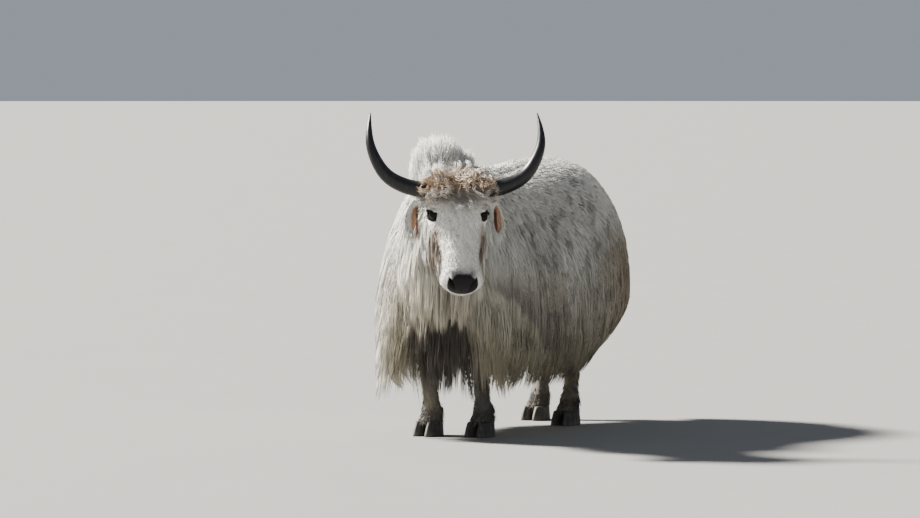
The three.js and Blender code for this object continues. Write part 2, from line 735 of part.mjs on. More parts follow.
// Ears: drooping leaves with a hollow cup that opens forward. Points are [left, forward, up] from the poll.
const EAR_CENTRES = [
  [112, -64, -70],
  [158, -74, -62],
  [184, -76, -96],
  [188, -74, -148],
  [182, -70, -192],
];
const EAR_HALF_WIDTHS = [
  [0, 15],
  [0.3, 22],
  [0.6, 28],
  [0.85, 20],
  [1, 4],
];
const EAR_STEPS = 8;
const EAR_THICK = 7;
const EAR_CUP = 14;
// The cup opens mostly ahead and a little to the side; its back bulges past its flat thickness.
const EAR_OPENING = { ahead: 0.8, aside: 0.5 };
const EAR_BULGE = 4;
const EAR_ACROSS = [-1, -0.6, 0, 0.6, 1];

function earShape(side, grow = 0) {
  const places = EAR_CENTRES.map(([left, forward, up]) =>
    POLL.clone().addScaledVector(headLeft, side * left).addScaledVector(facing, forward).add(axis(0, 0, up)),
  );
  const track = new THREE.CatmullRomCurve3(places);
  const opening = facing.clone().multiplyScalar(EAR_OPENING.ahead).addScaledVector(headLeft, side * EAR_OPENING.aside);
  const sections = [];
  for (let i = 0; i <= EAR_STEPS; i++) {
    const share = i / EAR_STEPS;
    const centre = track.getPoint(share);
    const tangent = track.getTangent(share);
    const cup = opening.clone().addScaledVector(tangent, -opening.dot(tangent)).normalize();
    const across = new THREE.Vector3().crossVectors(tangent, cup);
    const wide = smooth(EAR_HALF_WIDTHS, share) + grow;
    const thick = EAR_THICK + grow * 2;
    const bowl = EAR_CUP * Math.sin(Math.PI * Math.min(1, 0.15 + share * 0.8));
    const place = (a, depth) => centre.clone().addScaledVector(across, a * wide).addScaledVector(cup, depth);
    const curve = (a) => -bowl * (1 - a * a);
    const front = EAR_ACROSS.map((a) => place(a, curve(a) + thick / 2));
    const back = EAR_ACROSS.map((a) => place(a, curve(a) - thick / 2 - EAR_BULGE * (1 - a * a))).reverse();
    sections.push([...front, ...back]);
  }
  return loft(sections);
}

// Hump: a dome of stiff hair over the withers, whose locks stand up and fan outwards.
const HUMP = { centre: [-20, -112, 1168], wide: 118, deep: 160, tall: 128 };
const HUMP_LOCKS = [
  { count: 7, polar: 1.05, length: 88 },
  { count: 6, polar: 0.72, length: 92 },
  { count: 4, polar: 0.34, length: 92 },
];
const HUMP_LOCK_SIZE = { width: 78, thick: 34 };
// Shares of a lock's length that go straight out, lean further out at the tip, and rise.
const HUMP_LOCK_REACH = { out: 0.42, lean: 0.15, rise: 0.85, droop: 0.35 };
const HUMP_SCATTER = { turn: 0.35, length: 0.3 };

function humpPoint(turn, polar, grow = 0) {
  const [x, y, z] = HUMP.centre;
  return new THREE.Vector3(
    x + (HUMP.wide + grow) * Math.sin(polar) * Math.cos(turn),
    y + (HUMP.deep + grow) * Math.sin(polar) * Math.sin(turn),
    z + (HUMP.tall + grow) * Math.cos(polar),
  );
}

function humpDome() {
  const dome = new THREE.SphereGeometry(1, 16, 10).rotateX(Math.PI / 2);
  dome.scale(HUMP.wide, HUMP.deep, HUMP.tall);
  return solid(dome.translate(...HUMP.centre));
}

function humpLocks() {
  const random = seeded(5);
  const locks = [];
  for (const { count, polar, length } of HUMP_LOCKS) {
    for (let i = 0; i < count; i++) {
      const turn = ((i + 0.5 * (count % 2) + HUMP_SCATTER.turn * random()) / count) * 2 * Math.PI;
      const reach = length * (1 + scatter(random, HUMP_SCATTER.length));
      const skin = humpPoint(turn, polar);
      const out = humpPoint(turn, polar, 10).sub(skin).normalize();
      const flat = out.clone().setZ(0);
      const path = [humpPoint(turn, polar, -ROOT_SINK)];
      for (let k = 1; k <= LOCK_WIDTHS.length; k++) {
        const t = k / LOCK_WIDTHS.length;
        const rising = axis(0, 0, reach * HUMP_LOCK_REACH.rise * t * (1 - HUMP_LOCK_REACH.droop * t));
        const place = skin.clone().addScaledVector(out, reach * HUMP_LOCK_REACH.out * t).add(rising);
        path.push(place.addScaledVector(flat, reach * HUMP_LOCK_REACH.lean * t * t));
      }
      const side = axis(-Math.sin(turn), Math.cos(turn), 0);
      locks.push(lock(path, path.map(() => side), HUMP_LOCK_SIZE.width, HUMP_LOCK_SIZE.thick));
    }
  }
  return locks;
}

// Tail: a short dock hidden in a long brush of hair that lies in a groove down the rump.
const TAIL_STATIONS = [
  { centre: [0, 1080, 1030], radius: 34 },
  { centre: [0, 1168, 1000], radius: 44 },
  { centre: [0, 1216, 900], radius: 56 },
  { centre: [0, 1238, 760], radius: 74 },
  { centre: [0, 1244, 600], radius: 84 },
  { centre: [0, 1236, 460], radius: 74 },
  { centre: [0, 1226, 352], radius: 40 },
];
const TAIL_STEPS = 7;
const TAIL_CLEARANCE = 4;
const TAIL_SIDES = 10;

function tailPoint(share, turn, scale, grow) {
  const track = new THREE.CatmullRomCurve3(TAIL_STATIONS.map((s) => new THREE.Vector3(...s.centre)));
  const tangent = track.getTangent(share);
  const back = new THREE.Vector3().crossVectors(axis(1, 0, 0), tangent).normalize();
  const radius = smooth(TAIL_STATIONS.map((s, i) => [i / (TAIL_STATIONS.length - 1), s.radius]), share) * scale + grow;
  return track
    .getPoint(share)
    .add(axis(radius * Math.cos(turn), 0, 0))
    .addScaledVector(back, radius * Math.sin(turn));
}

function tailTube(from, to, scale, grow) {
  const sections = [];
  for (let i = 0; i <= TAIL_STEPS; i++) {
    const share = from + ((to - from) * i) / TAIL_STEPS;
    const ring = [];
    for (let j = 0; j < TAIL_SIDES; j++) ring.push(tailPoint(share, (j / TAIL_SIDES) * 2 * Math.PI, scale, grow));
    sections.push(ring);
  }
  return loft(sections);
}

const TAIL_LOCK_ROWS = [
  { from: 0.3, to: 0.72, count: 4, width: 84 },
  { from: 0.5, to: 0.98, count: 5, width: 78 },
];
const TAIL_LOCK_THICK = 22;
// How far off the middle line a lock starts and hangs, as shares of the tail's radius.
const TAIL_LOCK_ROOT = 0.4;
const TAIL_LOCK_HANG = 0.8;
const TAIL_SCATTER = { turn: 0.4, end: 0.08 };
const TAIL_ENDS = { from: 0.01, to: 0.99 };
const TAIL_CORE_END = 0.74;
const TAIL_CORE_SCALE = 0.72;

function tailLocks() {
  const random = seeded(91);
  const locks = [];
  for (const { from, to, count, width } of TAIL_LOCK_ROWS) {
    for (let i = 0; i < count; i++) {
      const turn = ((i + TAIL_SCATTER.turn * random()) / count) * 2 * Math.PI;
      const end = to - TAIL_SCATTER.end * random();
      const path = [];
      const sides = [];
      for (let k = 0; k <= LOCK_WIDTHS.length; k++) {
        const t = k / LOCK_WIDTHS.length;
        const share = from + (end - from) * t;
        path.push(tailPoint(share, turn, k === 0 ? TAIL_LOCK_ROOT : TAIL_LOCK_HANG, 0));
        sides.push(tailPoint(share, turn + NEARBY, 1, 0).sub(tailPoint(share, turn - NEARBY, 1, 0)));
      }
      locks.push(lock(path, sides, width, TAIL_LOCK_THICK));
    }
  }
  return locks;
}

// Assembly

const sides = { left: 1, right: -1 };
const both = Object.entries(sides);

const core = trunkCore().add(neckCore());
const grownCore = trunkCore(GAP).add(neckCore(GAP));
const locks = [...skirtLocks(), ...neckLocks()];
const legs = Object.entries(LEGS);
const grownLegs = union(legs.map(([, leg]) => legShape(leg, LEG_CLEARANCE)));
const tailGroove = tailTube(0, 1, 1, TAIL_CLEARANCE);

// Whether a point lies in a cell, told by a sliver of a ball there.
function inside(cell, point) {
  return cell.intersect(ballAt(point, 2, 4, 3)).volume() > 1;
}

// One region of the coat: the core in its cell with the locks rooted there, kept clear of what passes it.
function coatCell(cell, clearOf) {
  const rooted = locks.filter(({ root }) => inside(cell, root)).map(({ shape }) => shape);
  let region = union([core.intersect(cell), ...rooted]).intersect(cell);
  for (const shape of clearOf) region = region.subtract(shape);
  return region;
}

for (const [name, side] of both) {
  const half = side > 0 ? leftHalf : rightHalf;
  addNode("shoulder_" + name, coatCell(fore.intersect(half), [grownLegs]), coatWhite);
  addNode("flank_" + name, coatCell(middle.intersect(half), [grownLegs]), coatWhite);
  addNode("hindquarter_" + name, coatCell(hind.intersect(half), [grownLegs, tailGroove]), coatWhite);
}

for (const [name, leg] of legs) {
  addNode(name, legShape(leg).subtract(grownCore), legHair);
  const legDepth = leg.sections[FETLOCK][3];
  for (const [side, sign] of both) {
    const place = (shape) => shape.translate(leg.foot[0], leg.foot[1], 0);
    addNode(`${name}_claw_${side}`, place(clawShape(sign)), hoofBlack);
    const grown = legShape(leg, GAP);
    addNode(`${name}_dewclaw_${side}`, place(dewclawShape(sign, legDepth)).subtract(grown), hoofBlack);
  }
}

const grownHorns = union(both.map(([, side]) => hornShape(side, GAP)));
const eyeSockets = union(both.map(([, side]) => ballAt(eyeCentre(side), EYE.radius + GAP)));
let head = union([headCore(), ...forelockLocks(), ...both.map(([, side]) => lidRim(side))]);
head = head.subtract(eyeSockets).subtract(union(both.map(([, side]) => lidOpening(side))));
head = head.subtract(union(both.map(([, side]) => nostril(side)))).subtract(mouthGroove());
head = head.subtract(grownHorns).intersect(aheadOfNapeCut);
addNode("head", head, coatWhite);

const grownHead = headCore(GAP);
const grownEars = union(both.map(([, side]) => earShape(side, GAP)));
addNode("neck", coatCell(aheadOfShoulderCut.intersect(behindNapeCut), [grownHorns, grownEars]), coatWhite);

for (const [name, side] of both) {
  addNode("horn_" + name, hornShape(side).subtract(ballAt(POLL, HORN_CORE_END)), hornBlack);
  addNode("ear_" + name, earShape(side).subtract(grownHead), earRust);
  addNode("eye_" + name, ballAt(eyeCentre(side), EYE.radius), eyeDark);
}

addNode("hump", union([humpDome(), ...humpLocks()]).subtract(grownCore).intersect(behindShoulderCut), coatWhite);

const tail = union([tailTube(TAIL_ENDS.from, TAIL_CORE_END, TAIL_CORE_SCALE, 0), ...tailLocks()]);
addNode("tail", tail.intersect(tailTube(TAIL_ENDS.from, TAIL_ENDS.to, 1, 0)), coatWhite);

export default yak;
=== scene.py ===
import math

import bpy
import numpy as np
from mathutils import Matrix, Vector
from mathutils.bvhtree import BVHTree
from mathutils.kdtree import KDTree


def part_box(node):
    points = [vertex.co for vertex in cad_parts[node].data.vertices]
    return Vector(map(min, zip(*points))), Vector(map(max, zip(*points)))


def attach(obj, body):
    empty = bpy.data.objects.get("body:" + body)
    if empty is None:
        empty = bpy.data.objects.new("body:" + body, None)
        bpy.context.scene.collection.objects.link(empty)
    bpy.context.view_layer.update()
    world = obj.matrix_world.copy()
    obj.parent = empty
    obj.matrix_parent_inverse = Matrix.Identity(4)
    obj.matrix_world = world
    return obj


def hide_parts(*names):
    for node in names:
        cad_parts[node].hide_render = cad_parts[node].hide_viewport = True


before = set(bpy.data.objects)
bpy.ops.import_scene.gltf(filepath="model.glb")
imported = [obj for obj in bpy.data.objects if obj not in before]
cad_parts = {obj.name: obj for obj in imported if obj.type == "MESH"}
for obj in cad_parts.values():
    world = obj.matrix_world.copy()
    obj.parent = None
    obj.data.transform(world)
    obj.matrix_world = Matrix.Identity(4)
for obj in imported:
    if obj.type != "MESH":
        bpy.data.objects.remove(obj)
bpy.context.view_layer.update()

# Place of the yak in the frame
# Its own origin is on the floor between its forefeet, where it faces -Y with its left side to +X. The cuts
# through the solids of its trunk show where that is, down its middle and behind its shoulders.
SHOULDER_CUT_Y = 0.230
CUT_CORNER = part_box("flank_left")[0]
FEET = np.array([CUT_CORNER[0], CUT_CORNER[1] - SHOULDER_CUT_Y, 0.0])

# Camera
# The photograph was taken with a long lens at eye height, from ahead of the yak and to its left. Its frame
# is 920 by 518 pixels, with the ground between the forefeet left of the middle and the horizon above the yak.
FRAME_WIDTH, FRAME_HEIGHT = 920, 518
FEET_PIXEL_X = 455.5
HORIZON_PIXEL_Y = 81
FOCAL_PIXELS = 3996
AZIMUTH = math.radians(32)
DISTANCE = 18.0
EYE_HEIGHT = 1.6

camera_data = bpy.data.cameras.new("camera")
camera_data.sensor_width = 36
camera_data.lens = FOCAL_PIXELS / FRAME_WIDTH * camera_data.sensor_width
camera = bpy.data.objects.new("camera", camera_data)
bpy.context.collection.objects.link(camera)
camera.location = (
    FEET[0] + DISTANCE * math.sin(AZIMUTH),
    FEET[1] - DISTANCE * math.cos(AZIMUTH),
    EYE_HEIGHT,
)
dip = math.atan((FRAME_HEIGHT / 2 - HORIZON_PIXEL_Y) / FOCAL_PIXELS)
swing = math.atan((FRAME_WIDTH / 2 - FEET_PIXEL_X) / FOCAL_PIXELS)
camera.rotation_euler = (math.pi / 2 - dip, 0, AZIMUTH - swing)
bpy.context.scene.camera = camera

# Skin
# The body under the hair: a deep trunk, a thick low neck, a hump over the withers, four stout legs and a
# tail, all one surface with the head and the ears.


def smooth(stops, place):
    """A smooth curve through (place, value) stops, level past the ends, read at an array of places."""
    at, value = np.array(stops, float).T
    slope = np.gradient(value, at)
    slope[1:-1] = (value[2:] - value[:-2]) / (at[2:] - at[:-2])
    place = np.clip(place, at[0], at[-1])
    i = np.clip(np.searchsorted(at, place, side="right") - 1, 0, len(at) - 2)
    span = at[i + 1] - at[i]
    t = (place - at[i]) / span
    return (
        value[i] * (2 * t**3 - 3 * t**2 + 1)
        + value[i + 1] * (3 * t**2 - 2 * t**3)
        + span * slope[i] * (t**3 - 2 * t**2 + t)
        + span * slope[i + 1] * (t**3 - t**2)
    )


def squared(value, squareness):
    """A cosine or sine with its curve squared off, as in a superellipse."""
    return np.sign(value) * np.abs(value) ** (2 / squareness)


def unit(vectors):
    """Vectors along the last axis, each cut to length 1."""
    return vectors / np.maximum(np.linalg.norm(vectors, axis=-1, keepdims=True), 1e-9)


def full_turn(columns):
    """Even angles once round."""
    return np.linspace(0, 2 * np.pi, columns, endpoint=False)


def new_piece(name, points, faces):
    """A smooth-shaded object from (n, 3) points and a list of (m, k) arrays of corner numbers."""
    mesh = bpy.data.meshes.new(name)
    corners = np.concatenate([f.ravel() for f in faces]).astype(np.int32)
    sizes = np.concatenate([np.full(len(f), f.shape[1]) for f in faces])
    starts = np.concatenate([[0], np.cumsum(sizes)[:-1]]).astype(np.int32)
    mesh.vertices.add(len(points))
    mesh.vertices.foreach_set("co", np.ascontiguousarray(points, dtype=np.float32).ravel())
    mesh.loops.add(len(corners))
    mesh.loops.foreach_set("vertex_index", corners)
    mesh.polygons.add(len(sizes))
    mesh.polygons.foreach_set("loop_start", starts)
    mesh.polygons.foreach_set("use_smooth", np.ones(len(sizes), bool))
    mesh.update(calc_edges=True)
    piece = bpy.data.objects.new(name, mesh)
    bpy.context.collection.objects.link(piece)
    return piece


def closed_skin(rings):
    """Points and faces of the closed surface through (rows, columns, 3) rings, facing outwards."""
    rows, columns = rings.shape[:2]
    ids = np.arange(rows * columns).reshape(rows, columns)
    beside = np.roll(ids, -1, axis=1)
    quads = np.stack([ids[:-1], beside[:-1], beside[1:], ids[1:]], -1).reshape(-1, 4)
    start = rows * columns
    middle = np.full(columns, start)
    fans = [
        np.stack([middle, beside[0], ids[0]], -1),
        np.stack([middle + 1, ids[-1], beside[-1]], -1),
    ]
    points = np.concatenate([rings.reshape(-1, 3), [rings[0].mean(0), rings[-1].mean(0)]])
    a, b, c, d = points[quads.T]
    volume = np.einsum("ij,ij->", a - points[start], np.cross(b - a, c - a) + np.cross(c - a, d - a))
    if volume < 0:
        quads, fans = quads[:, ::-1], [f[:, ::-1] for f in fans]
    return points, [quads, np.concatenate(fans)]


def track(stations, share):
    """Places, directions and sizes along a smooth line through rows of x, y, z and any sizes.

    Shares run from 0 to 1 by the straight distance from row to row."""
    stations = np.array(stations, float)
    steps = np.concatenate([[0], np.cumsum(np.linalg.norm(np.diff(stations[:, :3], axis=0), axis=1))])
    steps /= steps[-1]
    along = np.stack([smooth(np.stack([steps, column], -1), share) for column in stations.T], -1)
    near = [
        np.stack([smooth(np.stack([steps, column], -1), share + d) for column in stations.T[:3]], -1)
        for d in (-0.02, 0.02)
    ]
    return along[..., :3], unit(near[1] - near[0]), along[..., 3:]


# Coat outline of the trunk: the plan of the coat, its girth from hem to back, and the line of the back.
COAT_HALF_WIDTH = 0.42
COAT_HALF_LENGTH = 0.80
COAT_MIDDLE_Y = 0.443
PLAN_SQUARENESS = 2.5
BULGE_RISE = 0.27
HEM_TUCK = 0.235
RIDGE_SHORTENING = 0.3
BACK_LINE = [
    (-0.36, 1.150),
    (-0.12, 1.222),
    (0.09, 1.222),
    (0.27, 1.180),
    (0.55, 1.228),
    (0.74, 1.243),
    (0.90, 1.230),
    (1.24, 1.150),
]
HEM = 0.20
REAR_HEM = [(0.50, HEM), (0.80, 0.345), (1.10, 0.43), (1.24, 0.445)]
CHEST_OPENING_X = 0.09
CHEST_HEM = [(0.11, 0.44), (0.22, HEM)]
# Depth of the skin below the coat's outline, by rise: deep under the skirt, thin on the back.
SKIN_INSET = [(0, 0.064), (0.5, 0.052), (0.72, 0.026), (1, 0.020)]
BELLY = 0.44
BELLY_OVER_HEM = 0.11


def coat_point(around, rise, inset):
    """Points of the coat's outline, as yak coordinates.

    around is the angle in plan, 0 at the left flank and a quarter turn at the rump, rise goes from 0 at the
    hem to 1 at the back, and inset shrinks the outline. Plan is a superellipse whose width closes in towards
    the back and tucks in below the bulge, and whose length shortens a little less."""
    low = np.maximum(0, (BULGE_RISE - rise) / BULGE_RISE) ** 2.2
    high = np.clip((rise - BULGE_RISE) / (1 - BULGE_RISE), 0, 1)
    girth = (1 - HEM_TUCK * low) * np.maximum(0, 1 - high**2) ** (1 / 3)
    reach = (1 - HEM_TUCK * 0.5 * low) * (1 - RIDGE_SHORTENING * high**3)
    plan_x = squared(np.cos(around), PLAN_SQUARENESS)
    plan_y = squared(np.sin(around), PLAN_SQUARENESS)
    x = (COAT_HALF_WIDTH - inset) * girth * plan_x
    y = COAT_MIDDLE_Y + (COAT_HALF_LENGTH - inset) * reach * plan_y
    edge_y = COAT_MIDDLE_Y + COAT_HALF_LENGTH * plan_y
    chest = smooth(CHEST_HEM, np.abs(COAT_HALF_WIDTH * plan_x - CHEST_OPENING_X))
    hem = np.where(edge_y < 0, chest, smooth(REAR_HEM, edge_y))
    z = hem + rise * (smooth(BACK_LINE, y) - inset - hem)
    return np.stack(np.broadcast_arrays(x, y, z), -1)


turns = np.linspace(0, 2 * np.pi, 2001)
girth_steps = np.linalg.norm(np.diff(coat_point(turns, BULGE_RISE, 0.0)[:, :2], axis=0), axis=1)
girth_lengths = np.concatenate([[0], np.cumsum(girth_steps)])
GIRTH = girth_lengths[-1]


def around_at(share):
    """The angle in plan at an even share of the way round the coat's girth."""
    return np.interp(np.mod(share, 1) * GIRTH, girth_lengths, turns)


# Rises by how far they lie down the flank from the ridge of the back, measured over the coat.
profile_rises = 1 - np.linspace(0, 1, 3001) ** 3
profile_steps = np.linalg.norm(np.diff(coat_point(0.0, profile_rises, 0.0), axis=0), axis=1)
profile_lengths = np.concatenate([[0], np.cumsum(profile_steps)])


def rise_below(ridge_distance):
    """The rise at a distance down the flank from the ridge."""
    return np.interp(ridge_distance, profile_lengths, profile_rises)


def rise_at_height(around, height):
    """The rise at which the coat reaches a height, its share of the way from the hem to the back."""
    hem = coat_point(around, 0.0, 0.0)[..., 2]
    return (height - hem) / (coat_point(around, 0.5, 0.0)[..., 2] - hem) / 2


def belly_rise(around):
    """The rise at which the trunk's skin leaves the belly."""
    hem = coat_point(around, 0.0, 0.0)[..., 2]
    return rise_at_height(around, np.maximum(BELLY, hem + BELLY_OVER_HEM))


TRUNK_ROWS, TRUNK_COLUMNS = 60, 160
# Rings of the belly: share of the trunk's width and length, and height over the belly's edge.
BELLY_RINGS = [(0.02, 0.02), (0.45, 0.01), (0.8, 0.005)]


def trunk_rings():
    """The trunk's skin: belly rings that widen, then rings up the inset outline, whose rises go with the
    sine of their share of the way."""
    columns = around_at(np.arange(TRUNK_COLUMNS) / TRUNK_COLUMNS)
    edge = coat_point(columns, BULGE_RISE, SKIN_INSET[0][1])
    floor = []
    for share, up in BELLY_RINGS:
        y = COAT_MIDDLE_Y + (edge[:, 1] - COAT_MIDDLE_Y) * share
        floor.append(np.stack([edge[:, 0] * share, y, np.full(TRUNK_COLUMNS, BELLY + up)], -1))
    low = belly_rise(columns)
    rises = low + (1 - low) * np.sin(np.linspace(0, 0.995, TRUNK_ROWS) * np.pi / 2)[:, None]
    return np.concatenate([floor, coat_point(columns, rises, smooth(SKIN_INSET, rises))])


# Neck stations: x, y, z, half width, half height.
NECK_STATIONS = [
    (0.000, 0.060, 0.890, 0.170, 0.230),
    (0.028, -0.130, 0.918, 0.180, 0.232),
    (0.105, -0.290, 0.938, 0.160, 0.222),
    (0.215, -0.420, 0.958, 0.140, 0.195),
    (0.300, -0.512, 0.968, 0.122, 0.172),
    (0.350, -0.570, 0.972, 0.104, 0.150),
]


def oval_rings(stations, rows, columns, squareness):
    """Upright rings round a track, square to its direction in plan, with half width and half height."""
    centre, ahead, size = track(stations, np.linspace(0, 1, rows))
    flat = unit(ahead * [1, 1, 0])
    side = np.stack([-flat[:, 1], flat[:, 0], 0 * flat[:, 0]], -1)
    turn = full_turn(columns)[None, :, None]
    wide = size[:, None, :1] * squared(np.cos(turn), squareness) * side[:, None]
    tall = size[:, None, 1:2] * squared(np.sin(turn), squareness) * np.array([0, 0, 1])
    return centre[:, None] + wide + tall


HUMP_CENTRE = np.array([-0.020, -0.112, 1.160])
HUMP_SIZE = np.array([0.104, 0.146, 0.116])


def ball_rings(centre, size, rows, columns):
    """Rings of an ellipsoid from its top down, by polar angle and turn."""
    polar = np.linspace(0.02, np.pi - 0.02, rows)[:, None]
    turn = full_turn(columns)[None]
    ball = (np.sin(polar) * np.cos(turn), np.sin(polar) * np.sin(turn), np.cos(polar))
    return centre + size * np.stack(np.broadcast_arrays(*ball), -1)


# Legs: sections from the coronet up, each with height, shift back, half width, half depth and share of the
# hock's shift.
FORELEG_SECTIONS = [
    (0.066, 0.004, 0.053, 0.057, 0),
    (0.092, 0.014, 0.042, 0.045, 0),
    (0.125, 0.020, 0.042, 0.048, 0),
    (0.165, 0.012, 0.033, 0.037, 0),
    (0.240, 0.006, 0.033, 0.038, 0),
    (0.290, 0.006, 0.040, 0.045, 0),
    (0.330, 0.004, 0.045, 0.051, 0),
    (0.375, 0.008, 0.044, 0.051, 0),
    (0.450, 0.012, 0.055, 0.067, 0),
    (0.560, 0.020, 0.067, 0.092, 0),
]
HINDLEG_SECTIONS = [
    (0.066, 0.004, 0.051, 0.057, 0),
    (0.092, 0.014, 0.041, 0.044, 0.03),
    (0.125, 0.020, 0.041, 0.048, 0.1),
    (0.170, 0.014, 0.033, 0.038, 0.25),
    (0.250, 0.008, 0.033, 0.039, 0.52),
    (0.320, 0.008, 0.038, 0.049, 0.8),
    (0.375, 0.014, 0.042, 0.059, 1),
    (0.430, 0.002, 0.045, 0.063, 0.92),
    (0.500, -0.020, 0.055, 0.081, 0.65),
    (0.600, -0.050, 0.072, 0.117, 0.3),
]
# Each foot's place on the floor and how far back the hock stands behind it.
LEGS = {
    "foreleg_right": (-0.100, -0.060, FORELEG_SECTIONS, 0),
    "foreleg_left": (0.124, 0.020, FORELEG_SECTIONS, 0),
    "hindleg_right": (-0.128, 0.930, HINDLEG_SECTIONS, 0.125),
    "hindleg_left": (0.140, 0.755, HINDLEG_SECTIONS, 0.085),
}


LEG_ROWS, LEG_COLUMNS = 70, 32


def leg_rings(x, y, sections, hock_back):
    """Level ovals up a leg, whose shift back, half width and half depth run smoothly through its sections."""
    sections = np.array(sections)
    heights = np.linspace(sections[0, 0], sections[-1, 0], LEG_ROWS)
    back, wide, deep, hock = (smooth(sections[:, [0, k]], heights) for k in (1, 2, 3, 4))
    turn = full_turn(LEG_COLUMNS)
    rings = np.empty((LEG_ROWS, LEG_COLUMNS, 3))
    rings[..., 0] = x + wide[:, None] * np.cos(turn)
    rings[..., 1] = y + (back + hock_back * hock)[:, None] + deep[:, None] * np.sin(turn)
    rings[..., 2] = heights[:, None]
    return rings


TAIL_STATIONS = [
    (0, 1.080, 1.030, 0.034),
    (0, 1.168, 1.000, 0.044),
    (0, 1.216, 0.900, 0.056),
    (0, 1.238, 0.760, 0.074),
    (0, 1.244, 0.600, 0.084),
    (0, 1.236, 0.460, 0.074),
    (0, 1.226, 0.352, 0.040),
]


def tube_rings(stations, shares, columns, scale, level):
    """Round rings square to a track. Stations end with the radius, and level is a way across the track."""
    centre, ahead, size = track(stations, shares)
    side = unit(np.cross(ahead, level))
    other = np.cross(ahead, side)
    turn = full_turn(columns)[None, :, None]
    circle = np.cos(turn) * side[:, None] + np.sin(turn) * other[:, None]
    return centre[:, None] + size[:, None, :1] * scale * circle


# Head frame: left is the head's own left, out stands off its face, and along runs down it from the poll.
POLL = np.array([0.365, -0.573, 1.130])
HEAD_YAW = math.radians(39)
FACE_FROM_PLUMB = math.radians(28)
facing = np.array([math.sin(HEAD_YAW), -math.cos(HEAD_YAW), 0])
head_left = np.array([math.cos(HEAD_YAW), math.sin(HEAD_YAW), 0])
face_along = facing * math.sin(FACE_FROM_PLUMB) - np.array([0, 0, math.cos(FACE_FROM_PLUMB)])
face_out = facing * math.cos(FACE_FROM_PLUMB) + np.array([0, 0, math.sin(FACE_FROM_PLUMB)])
HEAD_AXES = np.stack([head_left, face_out, face_along], -1)


def in_head_frame(points):
    """Left, out and along of yak coordinates, along the last axis."""
    return (points - POLL) @ HEAD_AXES


def head_point(left, out, along):
    """Yak coordinates of places in the head frame."""
    left, out, along = (np.asarray(v, float)[..., None] for v in (left, out, along))
    return POLL + left * head_left + out * face_out + along * face_along


# Sections of the head: distance down the face, half width, face side and jaw side.
HEAD_SECTIONS = [
    (-0.062, 0.046, -0.022, -0.088),
    (-0.050, 0.090, 0.010, -0.122),
    (-0.020, 0.118, 0.036, -0.142),
    (0.026, 0.130, 0.050, -0.160),
    (0.078, 0.133, 0.056, -0.182),
    (0.121, 0.131, 0.057, -0.202),
    (0.167, 0.116, 0.053, -0.206),
    (0.212, 0.100, 0.048, -0.187),
    (0.267, 0.088, 0.042, -0.154),
    (0.322, 0.081, 0.037, -0.129),
    (0.368, 0.081, 0.035, -0.114),
    (0.404, 0.088, 0.034, -0.107),
    (0.430, 0.090, 0.031, -0.104),
]
MUZZLE_START, MUZZLE_END = 0.408, 0.476
JAW_NARROWING = 0.3
EYE = np.array([0.108, 0.007, 0.121])
EYE_RADIUS = 0.022
EYE_GAZE = (0.86, 0.50, 0.06)
EYE_SLIT = (0.36, -0.45, -0.82)
SLIT_HALF_LENGTH, SLIT_HALF_HEIGHT = 0.0225, 0.0092
# The dark bare skin round the lids, an oval seen from ahead: its middle off the face's middle plane and below
# the poll, its half length and height, and the slope it runs down to the nose.
LID_MIDDLE = (0.121, 0.111)
LID_HALF_LENGTH, LID_HALF_HEIGHT = 0.031, 0.0195
LID_SLOPE = math.radians(52)
MOUTH_OUT = -0.062


def eye_axes(side):
    """The way an eye looks, along its slit to the outer corner, and across the slit, in the head frame."""
    gaze = unit(np.array(EYE_GAZE) * [side, 1, 1])
    slit = np.array(EYE_SLIT) * [side, 1, 1]
    slit = unit(slit - (slit @ gaze) * gaze)
    return gaze, slit, np.cross(gaze, slit)


def lid_distance(across, out, along):
    """0 in the middle of the lids' dark oval and 1 on its edge, from numbers or wires in the head frame."""
    aside = across - LID_MIDDLE[0]
    below = along * math.cos(FACE_FROM_PLUMB) - out * math.sin(FACE_FROM_PLUMB) - LID_MIDDLE[1]
    length = below * math.sin(LID_SLOPE) - aside * math.cos(LID_SLOPE)
    height = aside * math.sin(LID_SLOPE) + below * math.cos(LID_SLOPE)
    return (length / LID_HALF_LENGTH) ** 2.0 + (height / LID_HALF_HEIGHT) ** 2.0


def almond(length):
    """Half the height of the open slit at a distance along it."""
    return SLIT_HALF_HEIGHT * np.clip(1 - (length / SLIT_HALF_LENGTH) ** 2, 0, 1) ** 0.75


def bump(left, out, along, place, size, height):
    """A soft rise of the given height at a place in the head frame, the same on both sides."""
    distance = (
        ((np.abs(left) - place[0]) / size[0]) ** 2
        + ((out - place[1]) / size[1]) ** 2
        + ((along - place[2]) / size[2]) ** 2
    )
    return height * np.exp(-distance)


def mouth_line(along):
    """How far off the face's middle plane the lips meet, which rises towards the cheek."""
    return MOUTH_OUT + 0.12 * (0.44 - along)


HEAD_ROWS, HEAD_COLUMNS = 230, 200
STRAIGHT_ROWS = 165
HEAD_SQUARENESS = 2.25
MUZZLE_SETBACK = 0.016
